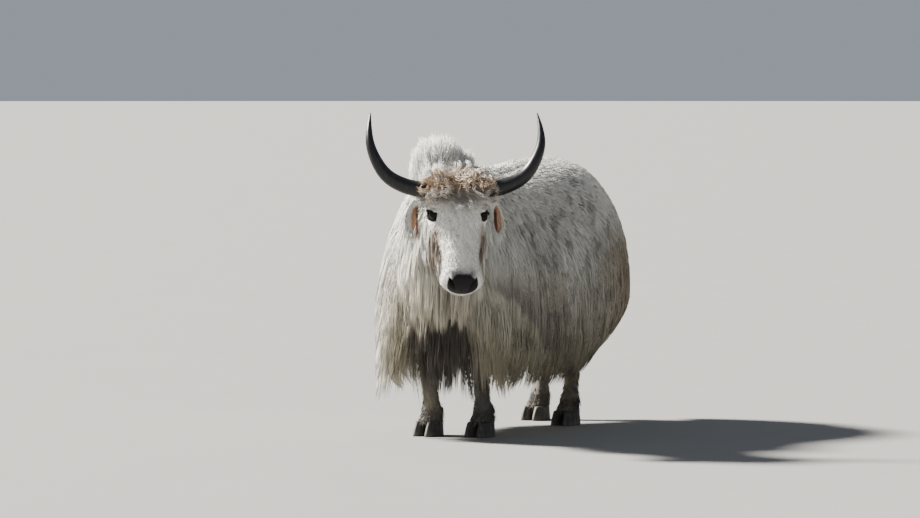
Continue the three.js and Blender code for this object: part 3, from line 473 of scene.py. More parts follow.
# Soft rises, or hollows where the height is negative: place and size in the head frame, and height.
HEAD_RISES = {
    "brow": ((0.098, 0.036, 0.092), (0.034, 0.030, 0.022), 0.010),
    "forehead": ((0.0, 0.055, 0.05), (0.07, 0.05, 0.07), 0.005),
    "nose ridge": ((0.0, 0.05, 0.29), (0.045, 0.04, 0.13), 0.003),
    "beside the nose": ((0.080, 0.02, 0.26), (0.03, 0.03, 0.06), -0.006),
    "cheekbone": ((0.104, -0.040, 0.190), (0.03, 0.018, 0.05), 0.008),
    "cheek": ((0.085, -0.05, 0.305), (0.03, 0.035, 0.045), -0.006),
    "jaw": ((0.084, -0.13, 0.15), (0.04, 0.05, 0.05), 0.008),
    "eye socket": ((0.126, EYE[1], EYE[2]), (0.04, 0.026, 0.030), -0.007),
    "nostril wing": ((0.050, 0.016, 0.436), (0.020, 0.020, 0.024), 0.009),
    "chin": ((0.0, -0.086, 0.440), (0.045, 0.018, 0.026), 0.006),
    "upper lip": ((0.080, -0.036, 0.424), (0.03, 0.022, 0.03), 0.005),
    "philtrum": ((0.0, -0.020, 0.476), (0.004, 0.025, 0.02), -0.003),
}
MOUTH_DEPTH, MOUTH_HALF_HEIGHT = 0.010, 0.0045
NOSTRIL_DEPTH = 0.022


def head_rings():
    """The head's surface: squared ovals down the face, rounded off at the muzzle, moved along their own
    outward direction by soft rises and hollows for brow, cheek, eye, nose and lips."""
    rounding = HEAD_ROWS - STRAIGHT_ROWS
    straight = np.linspace(HEAD_SECTIONS[0][0], MUZZLE_START, STRAIGHT_ROWS)
    along = np.concatenate([straight, np.full(rounding, MUZZLE_START)])
    close = np.concatenate([np.zeros(STRAIGHT_ROWS), np.linspace(0, 1, rounding)])
    along = along + (MUZZLE_END - MUZZLE_START) * np.sin(close * np.pi / 2)
    shrink = np.cos(np.minimum(close, 0.995) * np.pi / 2)[:, None] ** 0.85
    table = np.array(HEAD_SECTIONS)
    wide, face, jaw = (smooth(table[:, [0, k]], along)[:, None] for k in (1, 2, 3))
    turn = full_turn(HEAD_COLUMNS)[None]
    up = squared(np.sin(turn), HEAD_SQUARENESS)
    narrow = np.where(up < 0, 1 - JAW_NARROWING * up * up, 1)
    left = wide * shrink * squared(np.cos(turn), HEAD_SQUARENESS) * narrow
    slope_back = -MUZZLE_SETBACK * (1 - shrink)
    out = (face + jaw) / 2 + slope_back + (face - jaw) / 2 * shrink * up
    along = np.broadcast_to(along[:, None], left.shape)

    rise = sum(bump(left, out, along, *soft) for soft in HEAD_RISES.values())
    mouth = np.exp(-(((out - mouth_line(along)) / MOUTH_HALF_HEIGHT) ** 2))
    rise -= MOUTH_DEPTH * mouth * np.clip((along - 0.345) / 0.03, 0, 1)

    points = np.stack([left, out, along], -1)
    across = np.roll(points, -1, 1) - np.roll(points, 1, 1)
    down = np.gradient(points, axis=0)
    normal = unit(np.cross(across, down))
    middle = np.stack([0 * left, 0 * out + (face + jaw) / 2, along], -1)
    outward = np.sign(np.einsum("ijk,ijk->ij", normal, points - middle)[:STRAIGHT_ROWS].sum())
    points = points + outward * normal * rise[..., None]

    # Nostrils: commas that start wide below and sweep up and in, sunk into the end of the muzzle.
    left, out, along = np.moveaxis(points, -1, 0)
    sweep = 0.043 + 0.015 * np.clip((out + 0.010) / 0.03, -1, 1.2)
    hole = ((np.abs(left) - sweep) / 0.010) ** 2 + ((out - 0.002) / 0.018) ** 2
    depth = NOSTRIL_DEPTH * np.exp(-(hole**1.6)) * (along > 0.40)
    points = points - depth[..., None] * np.stack([0.35 * np.sign(left), 0 * out, 0 * along + 1], -1)

    # Lids: the skin follows the eyeball just outside it, and turns in behind it inside an almond slit.
    for side in (1, -1):
        from_eye = points - EYE * [side, 1, 1]
        gaze, slit, brow = eye_axes(side)
        ahead, length, height = from_eye @ gaze, from_eye @ slit, from_eye @ brow
        near = np.hypot(length, height)
        edge = almond(length)
        lid = EYE_RADIUS + 0.0030 + 0.0035 * np.exp(-(((np.abs(height) - edge - 0.003) / 0.004) ** 2))
        shell = np.sqrt(np.maximum(lid**2 - np.minimum(near, lid) ** 2, 0))
        target = np.maximum(ahead, shell)
        open_slit = np.clip((edge + 0.0010 - np.abs(height)) / 0.0020, 0, 1)
        target = target * (1 - open_slit) + np.minimum(ahead, 0.006) * open_slit
        shift = np.where((ahead > -0.004) & (near < 0.05), target - ahead, 0)
        points = points + shift[..., None] * gaze
    return head_point(*np.moveaxis(points, -1, 0))


# Ears: leaves that droop below the horns, with the cup turned forwards. Left, forward and up from the poll.
EAR_CENTRES = [
    (0.100, -0.064, -0.072),
    (0.158, -0.074, -0.062),
    (0.184, -0.076, -0.096),
    (0.188, -0.074, -0.148),
    (0.182, -0.070, -0.192),
]
EAR_HALF_WIDTHS = [(0, 0.015), (0.3, 0.022), (0.6, 0.028), (0.85, 0.020), (1, 0.003)]
EAR_THICK = 0.0055
EAR_CUP = 0.014
EAR_SQUARENESS = 2.6


def ear_rings(side):
    """Thin squared ovals along a leaf, hollowed towards the front by the square of the reach across it."""
    places = np.array([POLL + side * a * head_left + b * facing + [0, 0, c] for a, b, c in EAR_CENTRES])
    share = np.linspace(0, 1, 48)
    centre, ahead, _ = track(places, share)
    opening = 0.8 * facing + 0.5 * side * head_left
    cup = unit(opening - np.einsum("ij,j->i", ahead, opening)[:, None] * ahead)
    across = np.cross(ahead, cup)
    wide = smooth(EAR_HALF_WIDTHS, share)[:, None, None]
    bowl = (EAR_CUP * np.sin(np.pi * np.minimum(1, 0.15 + share * 0.8)))[:, None, None]
    turn = full_turn(40)[None, :, None]
    reach = squared(np.cos(turn), EAR_SQUARENESS)
    depth = -bowl * (1 - reach**2) + EAR_THICK / 2 * squared(np.sin(turn), EAR_SQUARENESS)
    return centre[:, None] + reach * wide * across[:, None] + depth * cup[:, None]


def skin_piece(name, rings):
    """A closed piece from rings in yak coordinates."""
    return new_piece(name, *closed_skin(FEET + rings))


def applied(piece, **modifier):
    """Replaces a piece's mesh by the one that a modifier with these settings makes of it."""
    made = piece.modifiers.new("made", modifier.pop("type"))
    for key, value in modifier.items():
        setattr(made, key, value)
    bpy.context.view_layer.update()
    mesh = bpy.data.meshes.new_from_object(piece.evaluated_get(bpy.context.evaluated_depsgraph_get()))
    piece.modifiers.clear()
    old, piece.data = piece.data, mesh
    bpy.data.meshes.remove(old)


def joined(pieces):
    """The first of some pieces, with the others joined to it."""
    with bpy.context.temp_override(active_object=pieces[0], selected_editable_objects=pieces):
        bpy.ops.object.join()
    return pieces[0]


rounded = [
    skin_piece("skin", trunk_rings()),
    skin_piece("neck_skin", oval_rings(NECK_STATIONS, 40, 60, 2.2)),
    skin_piece("hump_skin", ball_rings(HUMP_CENTRE, HUMP_SIZE, 40, 60)),
    skin_piece("tail_skin", tube_rings(TAIL_STATIONS, np.linspace(0, 0.72, 40), 32, 0.62, (1, 0, 0))),
]
rounded += [skin_piece(name + "_skin", leg_rings(*leg)) for name, leg in LEGS.items()]
skin = joined(rounded)
applied(skin, type="REMESH", mode="VOXEL", voxel_size=0.010, use_smooth_shade=True)
applied(skin, type="SMOOTH", factor=0.6, iterations=4)
for added in (
    skin_piece("head_skin", head_rings()),
    skin_piece("ear_left_skin", ear_rings(1)),
    skin_piece("ear_right_skin", ear_rings(-1)),
):
    applied(skin, type="BOOLEAN", operation="UNION", solver="MANIFOLD", object=added)
    bpy.data.objects.remove(added)
skin.data.polygons.foreach_set("use_smooth", np.ones(len(skin.data.polygons), bool))
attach(skin, "root")
FLESH_NODES = ["head", "neck", "hump", "tail", "ear_left", "ear_right"]
FLESH_NODES += [part + side for part in ("shoulder", "flank", "hindquarter") for side in ("_left", "_right")]
FLESH_NODES += list(LEGS)
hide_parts(*FLESH_NODES)


class Wire:
    """A socket of a material's nodes, so that shader maths reads as arithmetic."""

    def __init__(self, tree, socket):
        self.tree, self.socket = tree, socket

    def node(self, kind, output=0, inputs=(), **settings):
        """A new node's output, with inputs by name or number as (key, value or wire) pairs."""
        made = self.tree.nodes.new("ShaderNode" + kind)
        for key, value in settings.items():
            setattr(made, key, value)
        for key, value in inputs:
            if isinstance(value, Wire):
                self.tree.links.new(value.socket, made.inputs[key])
            else:
                made.inputs[key].default_value = value
        return Wire(self.tree, made.outputs[output])

    def maths(self, operation, *values):
        return self.node("Math", inputs=tuple(enumerate(values)), operation=operation)

    def __add__(self, other):
        return self.maths("ADD", self, other)

    def __sub__(self, other):
        return self.maths("SUBTRACT", self, other)

    def __rsub__(self, other):
        return self.maths("SUBTRACT", other, self)

    def __mul__(self, other):
        return self.maths("MULTIPLY", self, other)

    def __truediv__(self, other):
        return self.maths("DIVIDE", self, other)

    def __pow__(self, other):
        return self.maths("POWER", self, other)

    def __abs__(self):
        return self.maths("ABSOLUTE", self)

    __radd__, __rmul__ = __add__, __mul__

    def sine(self):
        return self.maths("SINE", self)

    def plain(self, shade):
        """A wire with one colour everywhere."""
        made = self.node("RGB")
        made.socket.default_value = shade
        return made

    def ramp(self, low, high):
        """From 0 at low to 1 at high, smoothly, and level outside."""
        return self.node(
            "MapRange",
            inputs=(("Value", self), ("From Min", low), ("From Max", high)),
            interpolation_type="SMOOTHSTEP",
        )

    def noise(self, scale, detail=3.0, stretch=(1, 1, 1), shift=(0, 0, 0)):
        """Noise over this position, centred on 0.5."""
        place = self.node("Mapping", inputs=(("Vector", self), ("Location", shift), ("Scale", stretch)))
        return place.node("TexNoise", inputs=(("Vector", place), ("Scale", scale), ("Detail", detail)))

    def mix(self, colour, share):
        """This colour with a share of another over it."""
        return self.node("Mix", output=2, inputs=((0, share), (6, self), (7, colour)), data_type="RGBA")

    def tint(self, factor):
        """This colour made lighter or darker."""
        return self.node("VectorMath", inputs=((0, self), (3, factor)), operation="SCALE")


def new_material(name, roughness):
    """A material, its Principled shader and the wire of positions in the frame."""
    material = bpy.data.materials.new(name)
    material.use_nodes = True
    tree = material.node_tree
    shader = tree.nodes["Principled BSDF"]
    shader.inputs["Roughness"].default_value = roughness
    place = Wire(tree, tree.nodes.new("ShaderNodeTexCoord").outputs["Object"])
    return material, shader, place


def wire_in(wire, shader, name):
    """Feeds a wire to a shader's input."""
    wire.tree.links.new(wire.socket, shader.inputs[name])


def colour(red, green, blue):
    return (red, green, blue, 1.0)


def axis_of(place, k):
    """One coordinate of a wire of positions."""
    return place.node("SeparateXYZ", output=k, inputs=((0, place),))


WHITE_HAIR = colour(0.76, 0.745, 0.70)
CREAM_HAIR = colour(0.60, 0.55, 0.45)
# Khaki of the hem, darkened partly as painted shade.
KHAKI_AND_SHADE_HAIR = colour(0.28, 0.245, 0.16)
TAN_HAIR = colour(0.27, 0.195, 0.115)
GREY_HAIR = colour(0.21, 0.195, 0.18)
# Brown of the brisket, darkened nearly to black partly as painted shade.
BRISKET_AND_SHADE_HAIR = colour(0.045, 0.034, 0.028)
# Dusty grey of the legs, darkened partly as painted shade.
LEG_DUST_AND_SHADE = colour(0.125, 0.118, 0.108)
SHADOW_HAIR = colour(0.15, 0.135, 0.12)
# Edge of the shoulder's long hair: where it starts on the flank, and how fast it runs back as it falls.
FRINGE_TOP_Y, FRINGE_TOP_Z, FRINGE_SLOPE = -0.14, 0.66, 1.05


def bell(wire, middle, width):
    """1 where the wire equals middle, falling to 0 over a few widths."""
    offset = (wire - middle) / width
    return wire.maths("EXPONENT", offset * offset * -1.0)


def markings(place):
    """The coat's colour by place in the frame, the same on skin and hair.

    White on the back, neck and face, cream lower down, khaki at the hem, tan behind, grey-brown dapples on
    the flanks, a brown brisket between the forelegs and dusty grey patches on the legs. Cream and khaki are
    laid mostly on the side away from the sun and the khaki is darkened, partly as painted shade; the brisket
    and the legs under the trunk are darkened as painted shade under the body, and a painted shadow lies
    behind the shoulder's long hair."""
    x, y, z = (axis_of(place, k) for k in range(3))
    x, y = x - float(FEET[0]), y - float(FEET[1])
    blur = place.noise(3.0, 4.0, shift=(3, 1, 7)) - 0.5
    streak = place.noise(24.0, 2.0, stretch=(1, 1, 0.07), shift=(1, 4, 0)) - 0.5
    rough_y, rough_z = y + blur * 0.4, z + blur * 0.3
    # Painted shade: the side away from the sun, the middle and the yak's left, takes more cream and the
    # darkened khaki, and the sunlit right side stays white to the hem.
    sunless = (x + blur * 0.2).ramp(-0.30, -0.06)
    low = (rough_z + streak * 0.3).ramp(0.92, 0.55)
    shade = place.plain(WHITE_HAIR).mix(CREAM_HAIR, low * (0.25 + sunless * 0.65))
    flank = rough_y.ramp(-0.02, 0.16) * rough_z.ramp(1.18, 1.02) * rough_z.ramp(0.40, 0.58)
    spots = place.noise(17.0, 3.0, stretch=(1, 1, 0.6), shift=(0, 2, 5)).ramp(0.50, 0.62)
    clouds = place.noise(3.4, 2.0, shift=(5, 0, 1)).ramp(0.40, 0.60)
    shade = shade.mix(GREY_HAIR, flank * (spots * 0.50 + clouds * 0.22))
    # Khaki at the hem, darkened and only on the side away from the sun: partly the hair's own stain, partly
    # painted shade.
    khaki = (z + blur * 0.20 + streak * 0.5).ramp(0.66, 0.34) * sunless
    shade = shade.mix(KHAKI_AND_SHADE_HAIR, khaki * 0.85)
    behind = (rough_y + streak * 0.5).ramp(0.50, 0.95) * rough_z.ramp(1.08, 0.74)
    shade = shade.mix(TAN_HAIR, behind * 0.85)
    # Behind the long hair that falls from the shoulder the coat is in its own shadow and grey.
    edge = y + FRINGE_SLOPE * (z - FRINGE_TOP_Z) - FRINGE_TOP_Y + streak * 0.16 + blur * 0.25
    fringe = edge.ramp(0.0, 0.05) * edge.ramp(0.30, 0.05)
    fringe = fringe * (z + blur * 0.2).ramp(0.84, 0.64) * (z + streak * 0.3).ramp(0.24, 0.42)
    shade = shade.mix(SHADOW_HAIR, fringe * x.ramp(0.1, 0.2) * 0.6)
    # Brisket between the forelegs, darkened nearly to black: partly its own brown hair, partly painted shade
    # under the chest.
    between = bell(x, CHEST_OPENING_X + 0.01, 0.14) * (z + streak * 0.4).ramp(0.57, 0.42)
    between = (between * (y + blur * 0.1).ramp(0.22, 0.05)).ramp(0.15, 0.6)
    shade = shade.mix(BRISKET_AND_SHADE_HAIR, between * 0.95)
    # Dusty grey on the legs under the trunk, darkened: partly dust, partly painted shade under the body.
    beside = abs(x).ramp(0.27, 0.20) * abs(y - 0.45).ramp(0.66, 0.60)
    dust = place.noise(14.0, 3.0, stretch=(1, 1, 0.6)).ramp(0.40, 0.58)
    return shade.mix(LEG_DUST_AND_SHADE, z.ramp(0.46, 0.36) * beside * (0.5 + dust * 0.45))


def head_wires(place):
    """Left, out and along in the head frame, as wires."""
    wires = []
    for direction in HEAD_AXES.T:
        inputs = ((0, place), (1, tuple(direction.tolist())))
        reach = place.node("VectorMath", output="Value", inputs=inputs, operation="DOT_PRODUCT")
        wires.append(reach - float((FEET + POLL) @ direction))
    return wires


CHEEK_BROWN = colour(0.19, 0.12, 0.075)
NOSE_BLACK = colour(0.011, 0.010, 0.011)
LID_BLACK = colour(0.012, 0.011, 0.011)
EAR_ORANGE = colour(0.55, 0.27, 0.14)
# Dark of the ears: painted shade in their hollows.
EAR_SHADE = colour(0.060, 0.022, 0.015)
POLL_TAN = colour(0.42, 0.27, 0.15)


def face_markings(place, shade):
    """The head's markings over the body's: white face, tan poll, brown hair on the cheeks, grey painted shade
    down the middle of the brow, dark hair above the nose, and orange ears with painted shade in their
    hollows, wider on the left ear. Also gives the wires of the head frame."""
    left, out, along = head_wires(place)
    across = abs(left)
    blur = place.noise(20.0, 3.0) - 0.5
    rough_along = along + blur * 0.06
    on_face = along.ramp(-0.12, -0.08) * out.ramp(-0.30, -0.22) * across.ramp(0.24, 0.20)
    shade = shade.mix(WHITE_HAIR, on_face * along.ramp(0.02, 0.10))
    poll = (along + blur * 0.10).ramp(0.14, 0.00) * on_face * (out + blur * 0.1).ramp(-0.06, 0.03)
    shade = shade.mix(POLL_TAN, poll * place.noise(22.0, 2.0, shift=(2, 2, 0)).ramp(0.30, 0.54) * 0.9)
    brown = bell(across + blur * 0.04, 0.104, 0.020) * rough_along.ramp(0.14, 0.20) * along.ramp(0.46, 0.36)
    shade = shade.mix(CHEEK_BROWN, brown * (out + blur * 0.05).ramp(0.03, -0.03) * on_face * 0.85)
    # Painted shade: grey down the middle of the brow, between the eyes.
    brow = bell(left + blur * 0.06, 0.0, 0.060) * rough_along.ramp(0.03, 0.06) * rough_along.ramp(0.15, 0.09)
    shade = shade.mix(GREY_HAIR, brow * on_face * 0.75)
    soot = (along + blur * 0.04).ramp(0.375, 0.425) * across.ramp(0.075, 0.035)
    shade = shade.mix(NOSE_BLACK, soot * (out + blur * 0.03).ramp(-0.01, 0.015) * 0.8)
    # The bare fronts of the ears are ovals, the right one further in.
    aside = across + blur * 0.012 - (left.ramp(-0.1, 0.1) * 0.016 + 0.172)
    oval = (aside / 0.019) ** 2.0 + ((along + blur * 0.03 - 0.082) / 0.056) ** 2.0
    ear = oval.ramp(1.2, 0.75) * out.ramp(0.03, 0.0) * out.ramp(-0.24, -0.20)
    # Painted shade: a narrow dark slit in the hollow of the right ear, and a wide dark band over the inner
    # half of the left ear, which faces away from the sun.
    slit = bell(across, 0.163, 0.010) * left.ramp(0.0, -0.1)
    slit = slit + bell(across, 0.172, 0.018) * left.ramp(0.0, 0.1)
    shade = shade.mix(EAR_ORANGE, ear * 0.85)
    shade = shade.mix(EAR_SHADE, ear * slit.ramp(0.25, 0.75) * (along + blur * 0.03).ramp(0.02, 0.06) * 0.95)
    return shade, left, out, along


def skin_colours(place):
    """Markings with the bare black nose, lips and lids over them, and the share of the nose pad."""
    shade, left, out, along = face_markings(place, markings(place))
    across = abs(left)
    blur = place.noise(60.0, 3.0) - 0.5
    oval = (across / 0.067) ** 2.6 + (abs(out + 0.010) / 0.042) ** 2.6 + blur * 0.25
    pad = oval.ramp(1.12, 0.90) * (along + blur * 0.01).ramp(0.405, 0.425)
    shade = shade.mix(NOSE_BLACK, pad)
    lip = along.ramp(0.36, 0.39) * bell(out - (0.44 - along) * 0.12, MOUTH_OUT, 0.005)
    shade = shade.mix(NOSE_BLACK, lip * 0.8)
    ahead_of_eye = across * EYE_GAZE[0] + out * EYE_GAZE[1] - float(EYE[:2] @ EYE_GAZE[:2])
    lids = (lid_distance(across, out, along) + blur * 0.4).ramp(1.15, 0.85)
    shade = shade.mix(LID_BLACK, lids * ahead_of_eye.ramp(-0.045, -0.03))
    return shade, pad


skin_material, shader, place = new_material("skin", 0.75)
shade, pad = skin_colours(place)
fine = place.noise(260.0, 2.0, stretch=(1, 1, 0.22))
coarse = place.noise(60.0, 3.0, stretch=(1, 1, 0.3))
wire_in(shade.tint(0.78 + fine * 0.4), shader, "Base Color")
wire_in(0.8 - pad * 0.5, shader, "Roughness")
shader.inputs["Specular IOR Level"].default_value = 0.12
grain = (("Height", fine + coarse * 0.8), ("Strength", 0.5), ("Distance", 0.004))
wire_in(place.node("Bump", inputs=grain), shader, "Normal")
skin.data.materials.clear()
skin.data.materials.append(skin_material)

# Hair
# Yaks wear short dense wool on the back and sides, and a skirt of long straight hair that hangs from the
# lower flanks nearly to the ground. Each tuft here is a thin tapered closed wedge that leaves the skin and
# gathers with its neighbours into locks.

hair_material, shader, place = new_material("hair", 0.55)
along_hair, tone, across_hair = (
    place.node("Attribute", output="Fac", attribute_name=name) for name in ("along", "tone", "across")
)
shade = face_markings(place, markings(place))[0]
# Painted shade in the hair: each tuft darker towards its root, deep in the coat, and streaked along its
# length for shadowed gaps between strands. The tone by lock and tuft is the hair's own.
strand = across_hair * 3.5 + tone * 91.0 + along_hair * 0.5
strand_inputs = (("W", strand), ("Scale", 1.0), ("Detail", 1.0))
strand = place.node("TexNoise", inputs=strand_inputs, noise_dimensions="1D")
light = (0.74 + along_hair * 0.30) * (0.78 + tone * 0.34) * (0.72 + strand * 0.56)
wire_in(shade.tint(light), shader, "Base Color")
shader.inputs["Sheen Weight"].default_value = 0.1
shader.inputs["Specular IOR Level"].default_value = 0.3

# Height of a tuft's ridge as a share of its width, and the size of its patch on the unwrap.
RIDGE = 0.55
PATCH = 0.003


def hair_piece(name, paths, outs, widths, unwrap, tones):
    """A coat piece of many tapered tufts.

    paths are (n, k, 3) centre points from root to tip, outs the way each tuft's ridge faces, at each of its
    points or for all of them, widths its full width at the widest, and unwrap the root's place on the skin
    laid flat. Each cross-section is a triangle with a ridge, the last point is the tip, and the root is
    closed."""
    count, steps = paths.shape[:2]
    ahead = unit(np.gradient(paths, axis=1))
    side = unit(np.cross(ahead, outs.reshape(count, -1, 3)))
    ridge = np.cross(side, ahead)
    share = np.linspace(0, 1, steps)
    taper = (0.55 + 1.6 * share * (1 - share)) * np.sqrt(np.clip(1.06 - share, 0, 1))
    half = (widths[:, None] / 2 * taper)[..., None]
    corners = np.stack([paths + side * half, paths + ridge * half * 2 * RIDGE, paths - side * half], 2)
    per = 3 * (steps - 1) + 1
    points = np.concatenate([corners[:, :-1].reshape(count, -1, 3), paths[:, -1:]], 1).reshape(-1, 3)
    ring = 3 * np.arange(steps - 2)[:, None]
    quads = np.stack([ring + [0, 1, 2], ring + [3, 4, 5], ring + [4, 5, 3], ring + [1, 2, 0]], -1)
    quads = quads.reshape(-1, 4)
    last, tip = 3 * (steps - 2), per - 1
    tips = np.array([[last, tip, last + 1], [last + 1, tip, last + 2], [last + 2, tip, last], [0, 1, 2]])
    start = (np.arange(count) * per)[:, None, None]
    faces = [(start + quads).reshape(-1, 4), (start + tips).reshape(-1, 3)]
    piece = new_piece(name, FEET + points, faces)
    mesh = piece.data
    level = np.append(np.repeat(share[:-1], 3), 1.0)
    wide = np.append(np.tile([0.0, 0.5, 1.0], steps - 1), 0.5)
    values = {"along": np.tile(level, count), "tone": np.repeat(tones, per), "across": np.tile(wide, count)}
    for key, value in values.items():
        mesh.attributes.new(key, "FLOAT", "POINT").data.foreach_set("value", value.astype(np.float32))
    patch = np.stack([wide - 0.5, level - 0.5], -1) * PATCH
    flat = (np.clip(unwrap, 0.01, 0.99)[:, None] + patch).reshape(-1, 2)
    corner_points = np.empty(len(mesh.loops), np.int32)
    mesh.loops.foreach_get("vertex_index", corner_points)
    uv = flat[corner_points].astype(np.float32).ravel()
    mesh.uv_layers.new(name="OFBake").data.foreach_set("uv", uv)
    mesh.materials.append(hair_material)
    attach(piece, "root")


def hair_pieces(parts, *rows):
    """A coat piece for each name, from the tufts that its mask picks out of hair_piece's other arguments."""
    for name, own in parts.items():
        hair_piece(name, *(row[own] for row in rows))


# Share of a tuft's length below which its lock doesn't draw it.
FREE_SHARE = 0.075


def gathered(paths, random, lock_count, grip):
    """Paths drawn towards the nearest of some of their own number, more and more towards the tip.

    Also gives the number of each path's lock."""
    chosen = random.choice(len(paths), lock_count, replace=False)
    tree = KDTree(len(chosen))
    for k, i in enumerate(chosen):
        tree.insert(paths[i, 0], k)
    tree.balance()
    guide = np.array([tree.find(root)[1] for root in paths[:, 0]])
    share = np.linspace(0, 1, paths.shape[1])
    pull = grip * np.clip((share - FREE_SHARE) / (1 - FREE_SHARE), 0, 1) ** 0.9
    return paths + (paths[chosen][guide] - paths) * pull[None, :, None], guide


def lock_tones(random, lock, lock_count, lock_share):
    """A tone for each tuft, a share of it its lock's and the rest its own."""
    return lock_share * random.random(lock_count)[lock] + (1 - lock_share) * random.random(len(lock))


def ramp(value, low, high):
    """From 0 at low to 1 at high, smoothly, and level outside."""
    t = np.clip((value - low) / (high - low), 0, 1)
    return t * t * (3 - 2 * t)


def coat_places(random, count, first, last):
    """Random places over the coat's outline, even by area, between two distances down from the ridge.

    Gives shares round the girth and distances."""
    columns, rows = 240, 120
    step = (last - first) / rows
    share = ((np.arange(columns) + 0.5) / columns)[:, None] + np.zeros(rows)
    down = first + (np.arange(rows) + 0.5) * step + np.zeros((columns, 1))

    def across(share_step, down_step):
        ahead = coat_point(around_at(share + share_step), rise_below(down + down_step), 0.0)
        return ahead - coat_point(around_at(share - share_step), rise_below(down - down_step), 0.0)

    area = np.linalg.norm(np.cross(across(0.5 / columns, 0), across(0, step / 2)), axis=-1).ravel()
    cell = random.choice(area.size, count, p=area / area.sum())
    jitter = random.random((2, count)) - 0.5
    return (share.ravel()[cell] + jitter[0] / columns) % 1, down.ravel()[cell] + jitter[1] * step


def coat_outs(shares, rises):
    """The way out of the coat at shares of the girth and rises."""
    around = around_at(shares)
    return unit(coat_point(around, rises, -0.05) - coat_point(around, rises, 0.05))


# Skirt
# Long straight hair in locks from shoulder to rump, in layers whose tips hang free at the hem.
SKIRT_TUFTS = 15600
SKIRT_STEPS = 6
SKIRT_LOCKS = 1300
SKIRT_FROM = 0.46
SKIRT_PIECES = 4
SKIRT_GRIP = 0.74
# How far the shoulder's long hair hangs over the flank behind it.
FRINGE_LIFT = 0.024


def skirt():
    random = np.random.default_rng(11)
    share, down = coat_places(random, SKIRT_TUFTS, SKIRT_FROM, profile_lengths[-1] * 0.97)
    around = around_at(share)
    start = np.maximum(rise_below(down), belly_rise(around) + 0.02)
    reach = random.choice([0.0, 0.25, 0.5], SKIRT_TUFTS, p=[0.60, 0.24, 0.16])
    reach = np.maximum(reach, 0.75 * ramp(down, SKIRT_FROM + 0.22, SKIRT_FROM) * random.random(SKIRT_TUFTS))
    end = np.clip(start * reach + random.random(SKIRT_TUFTS) * 0.06, -0.02, start - 0.10)
    t = np.linspace(0, 1, SKIRT_STEPS)
    rises = start[:, None] + (end - start)[:, None] * t
    layer = random.random(SKIRT_TUFTS)[:, None] * 0.034
    lift = np.clip(t * 3.0, 0, 1) ** 0.7
    inset = smooth(SKIN_INSET, rises) * (1 - lift) + layer * lift + 0.004
    place = coat_point(around[:, None], rises, 0.0)
    edge = place[..., 1] + FRINGE_SLOPE * (place[..., 2] - FRINGE_TOP_Z) - FRINGE_TOP_Y
    ahead_of_edge = ramp(edge.max(1, keepdims=True), 0.015, -0.005)
    over = ramp(place[..., 0], 0.10, 0.25) * ahead_of_edge * ramp(edge, -0.40, -0.12)
    inset = inset - FRINGE_LIFT * over * lift
    wave = 0.0035 * np.sin(t * 6 + random.random(SKIRT_TUFTS)[:, None] * 6)
    shares = share[:, None] + (random.normal(0, 0.005, SKIRT_TUFTS)[:, None] + wave) * t
    paths, lock = gathered(coat_point(around_at(shares), rises, inset), random, SKIRT_LOCKS, SKIRT_GRIP)
    tones = lock_tones(random, lock, SKIRT_LOCKS, 0.6)
    widths = random.uniform(0.0040, 0.0072, SKIRT_TUFTS)
    parts = {f"skirt_{k + 1}": (share * SKIRT_PIECES).astype(int) == k for k in range(SKIRT_PIECES)}
    hair_pieces(parts, paths, coat_outs(shares, rises), widths, np.stack([share, start], -1), tones)


skirt()

# Wool
# Short soft hair over the back and the upper sides, lying down and back, longer towards the skirt.
WOOL_TUFTS = 25000
WOOL_STEPS = 4
WOOL_LOCKS = 2600
WOOL_LOWEST = 0.74
WOOL_PIECES = 3
WOOL_GRIP = 0.30


def wool():
    random = np.random.default_rng(12)
    share, down = coat_places(random, WOOL_TUFTS, 0.0, WOOL_LOWEST)
    t = np.linspace(0, 1, WOOL_STEPS)
    low = ramp(down, 0.30, 0.62)
    length = random.uniform(0.045, 0.070, WOOL_TUFTS) * (1 + 1.3 * low)
    ridge = ramp(down, 0.16, 0.0)
    slant = (0.70 - 0.52 * low + 0.75 * ridge) * np.clip(np.cos(around_at(share)) * 2.5, -1, 1)
    slant = slant + random.normal(0, 0.12, WOOL_TUFTS)
    downs = np.maximum(down[:, None] + (length * np.cos(slant))[:, None] * t, 0.002)
    shares = share[:, None] + (length * np.sin(slant) / GIRTH * (1 + 0.8 * ridge))[:, None] * t
    rises = rise_below(downs)
    layer = random.uniform(0.0, 0.010, WOOL_TUFTS)[:, None]
    lift = np.sin(t * np.pi / 2) ** 0.8
    inset = smooth(SKIN_INSET, rises) * (1 - lift) + layer * lift + 0.003
    paths, lock = gathered(coat_point(around_at(shares), rises, inset), random, WOOL_LOCKS, WOOL_GRIP)
    tones = lock_tones(random, lock, WOOL_LOCKS, 0.5)
    widths = random.uniform(0.0040, 0.0068, WOOL_TUFTS)
    parts = {f"wool_{k + 1}": (share * WOOL_PIECES).astype(int) == k for k in range(WOOL_PIECES)}
    hair_pieces(parts, paths, coat_outs(shares, rises), widths, np.stack([share, rises[:, 0]], -1), tones)


wool()

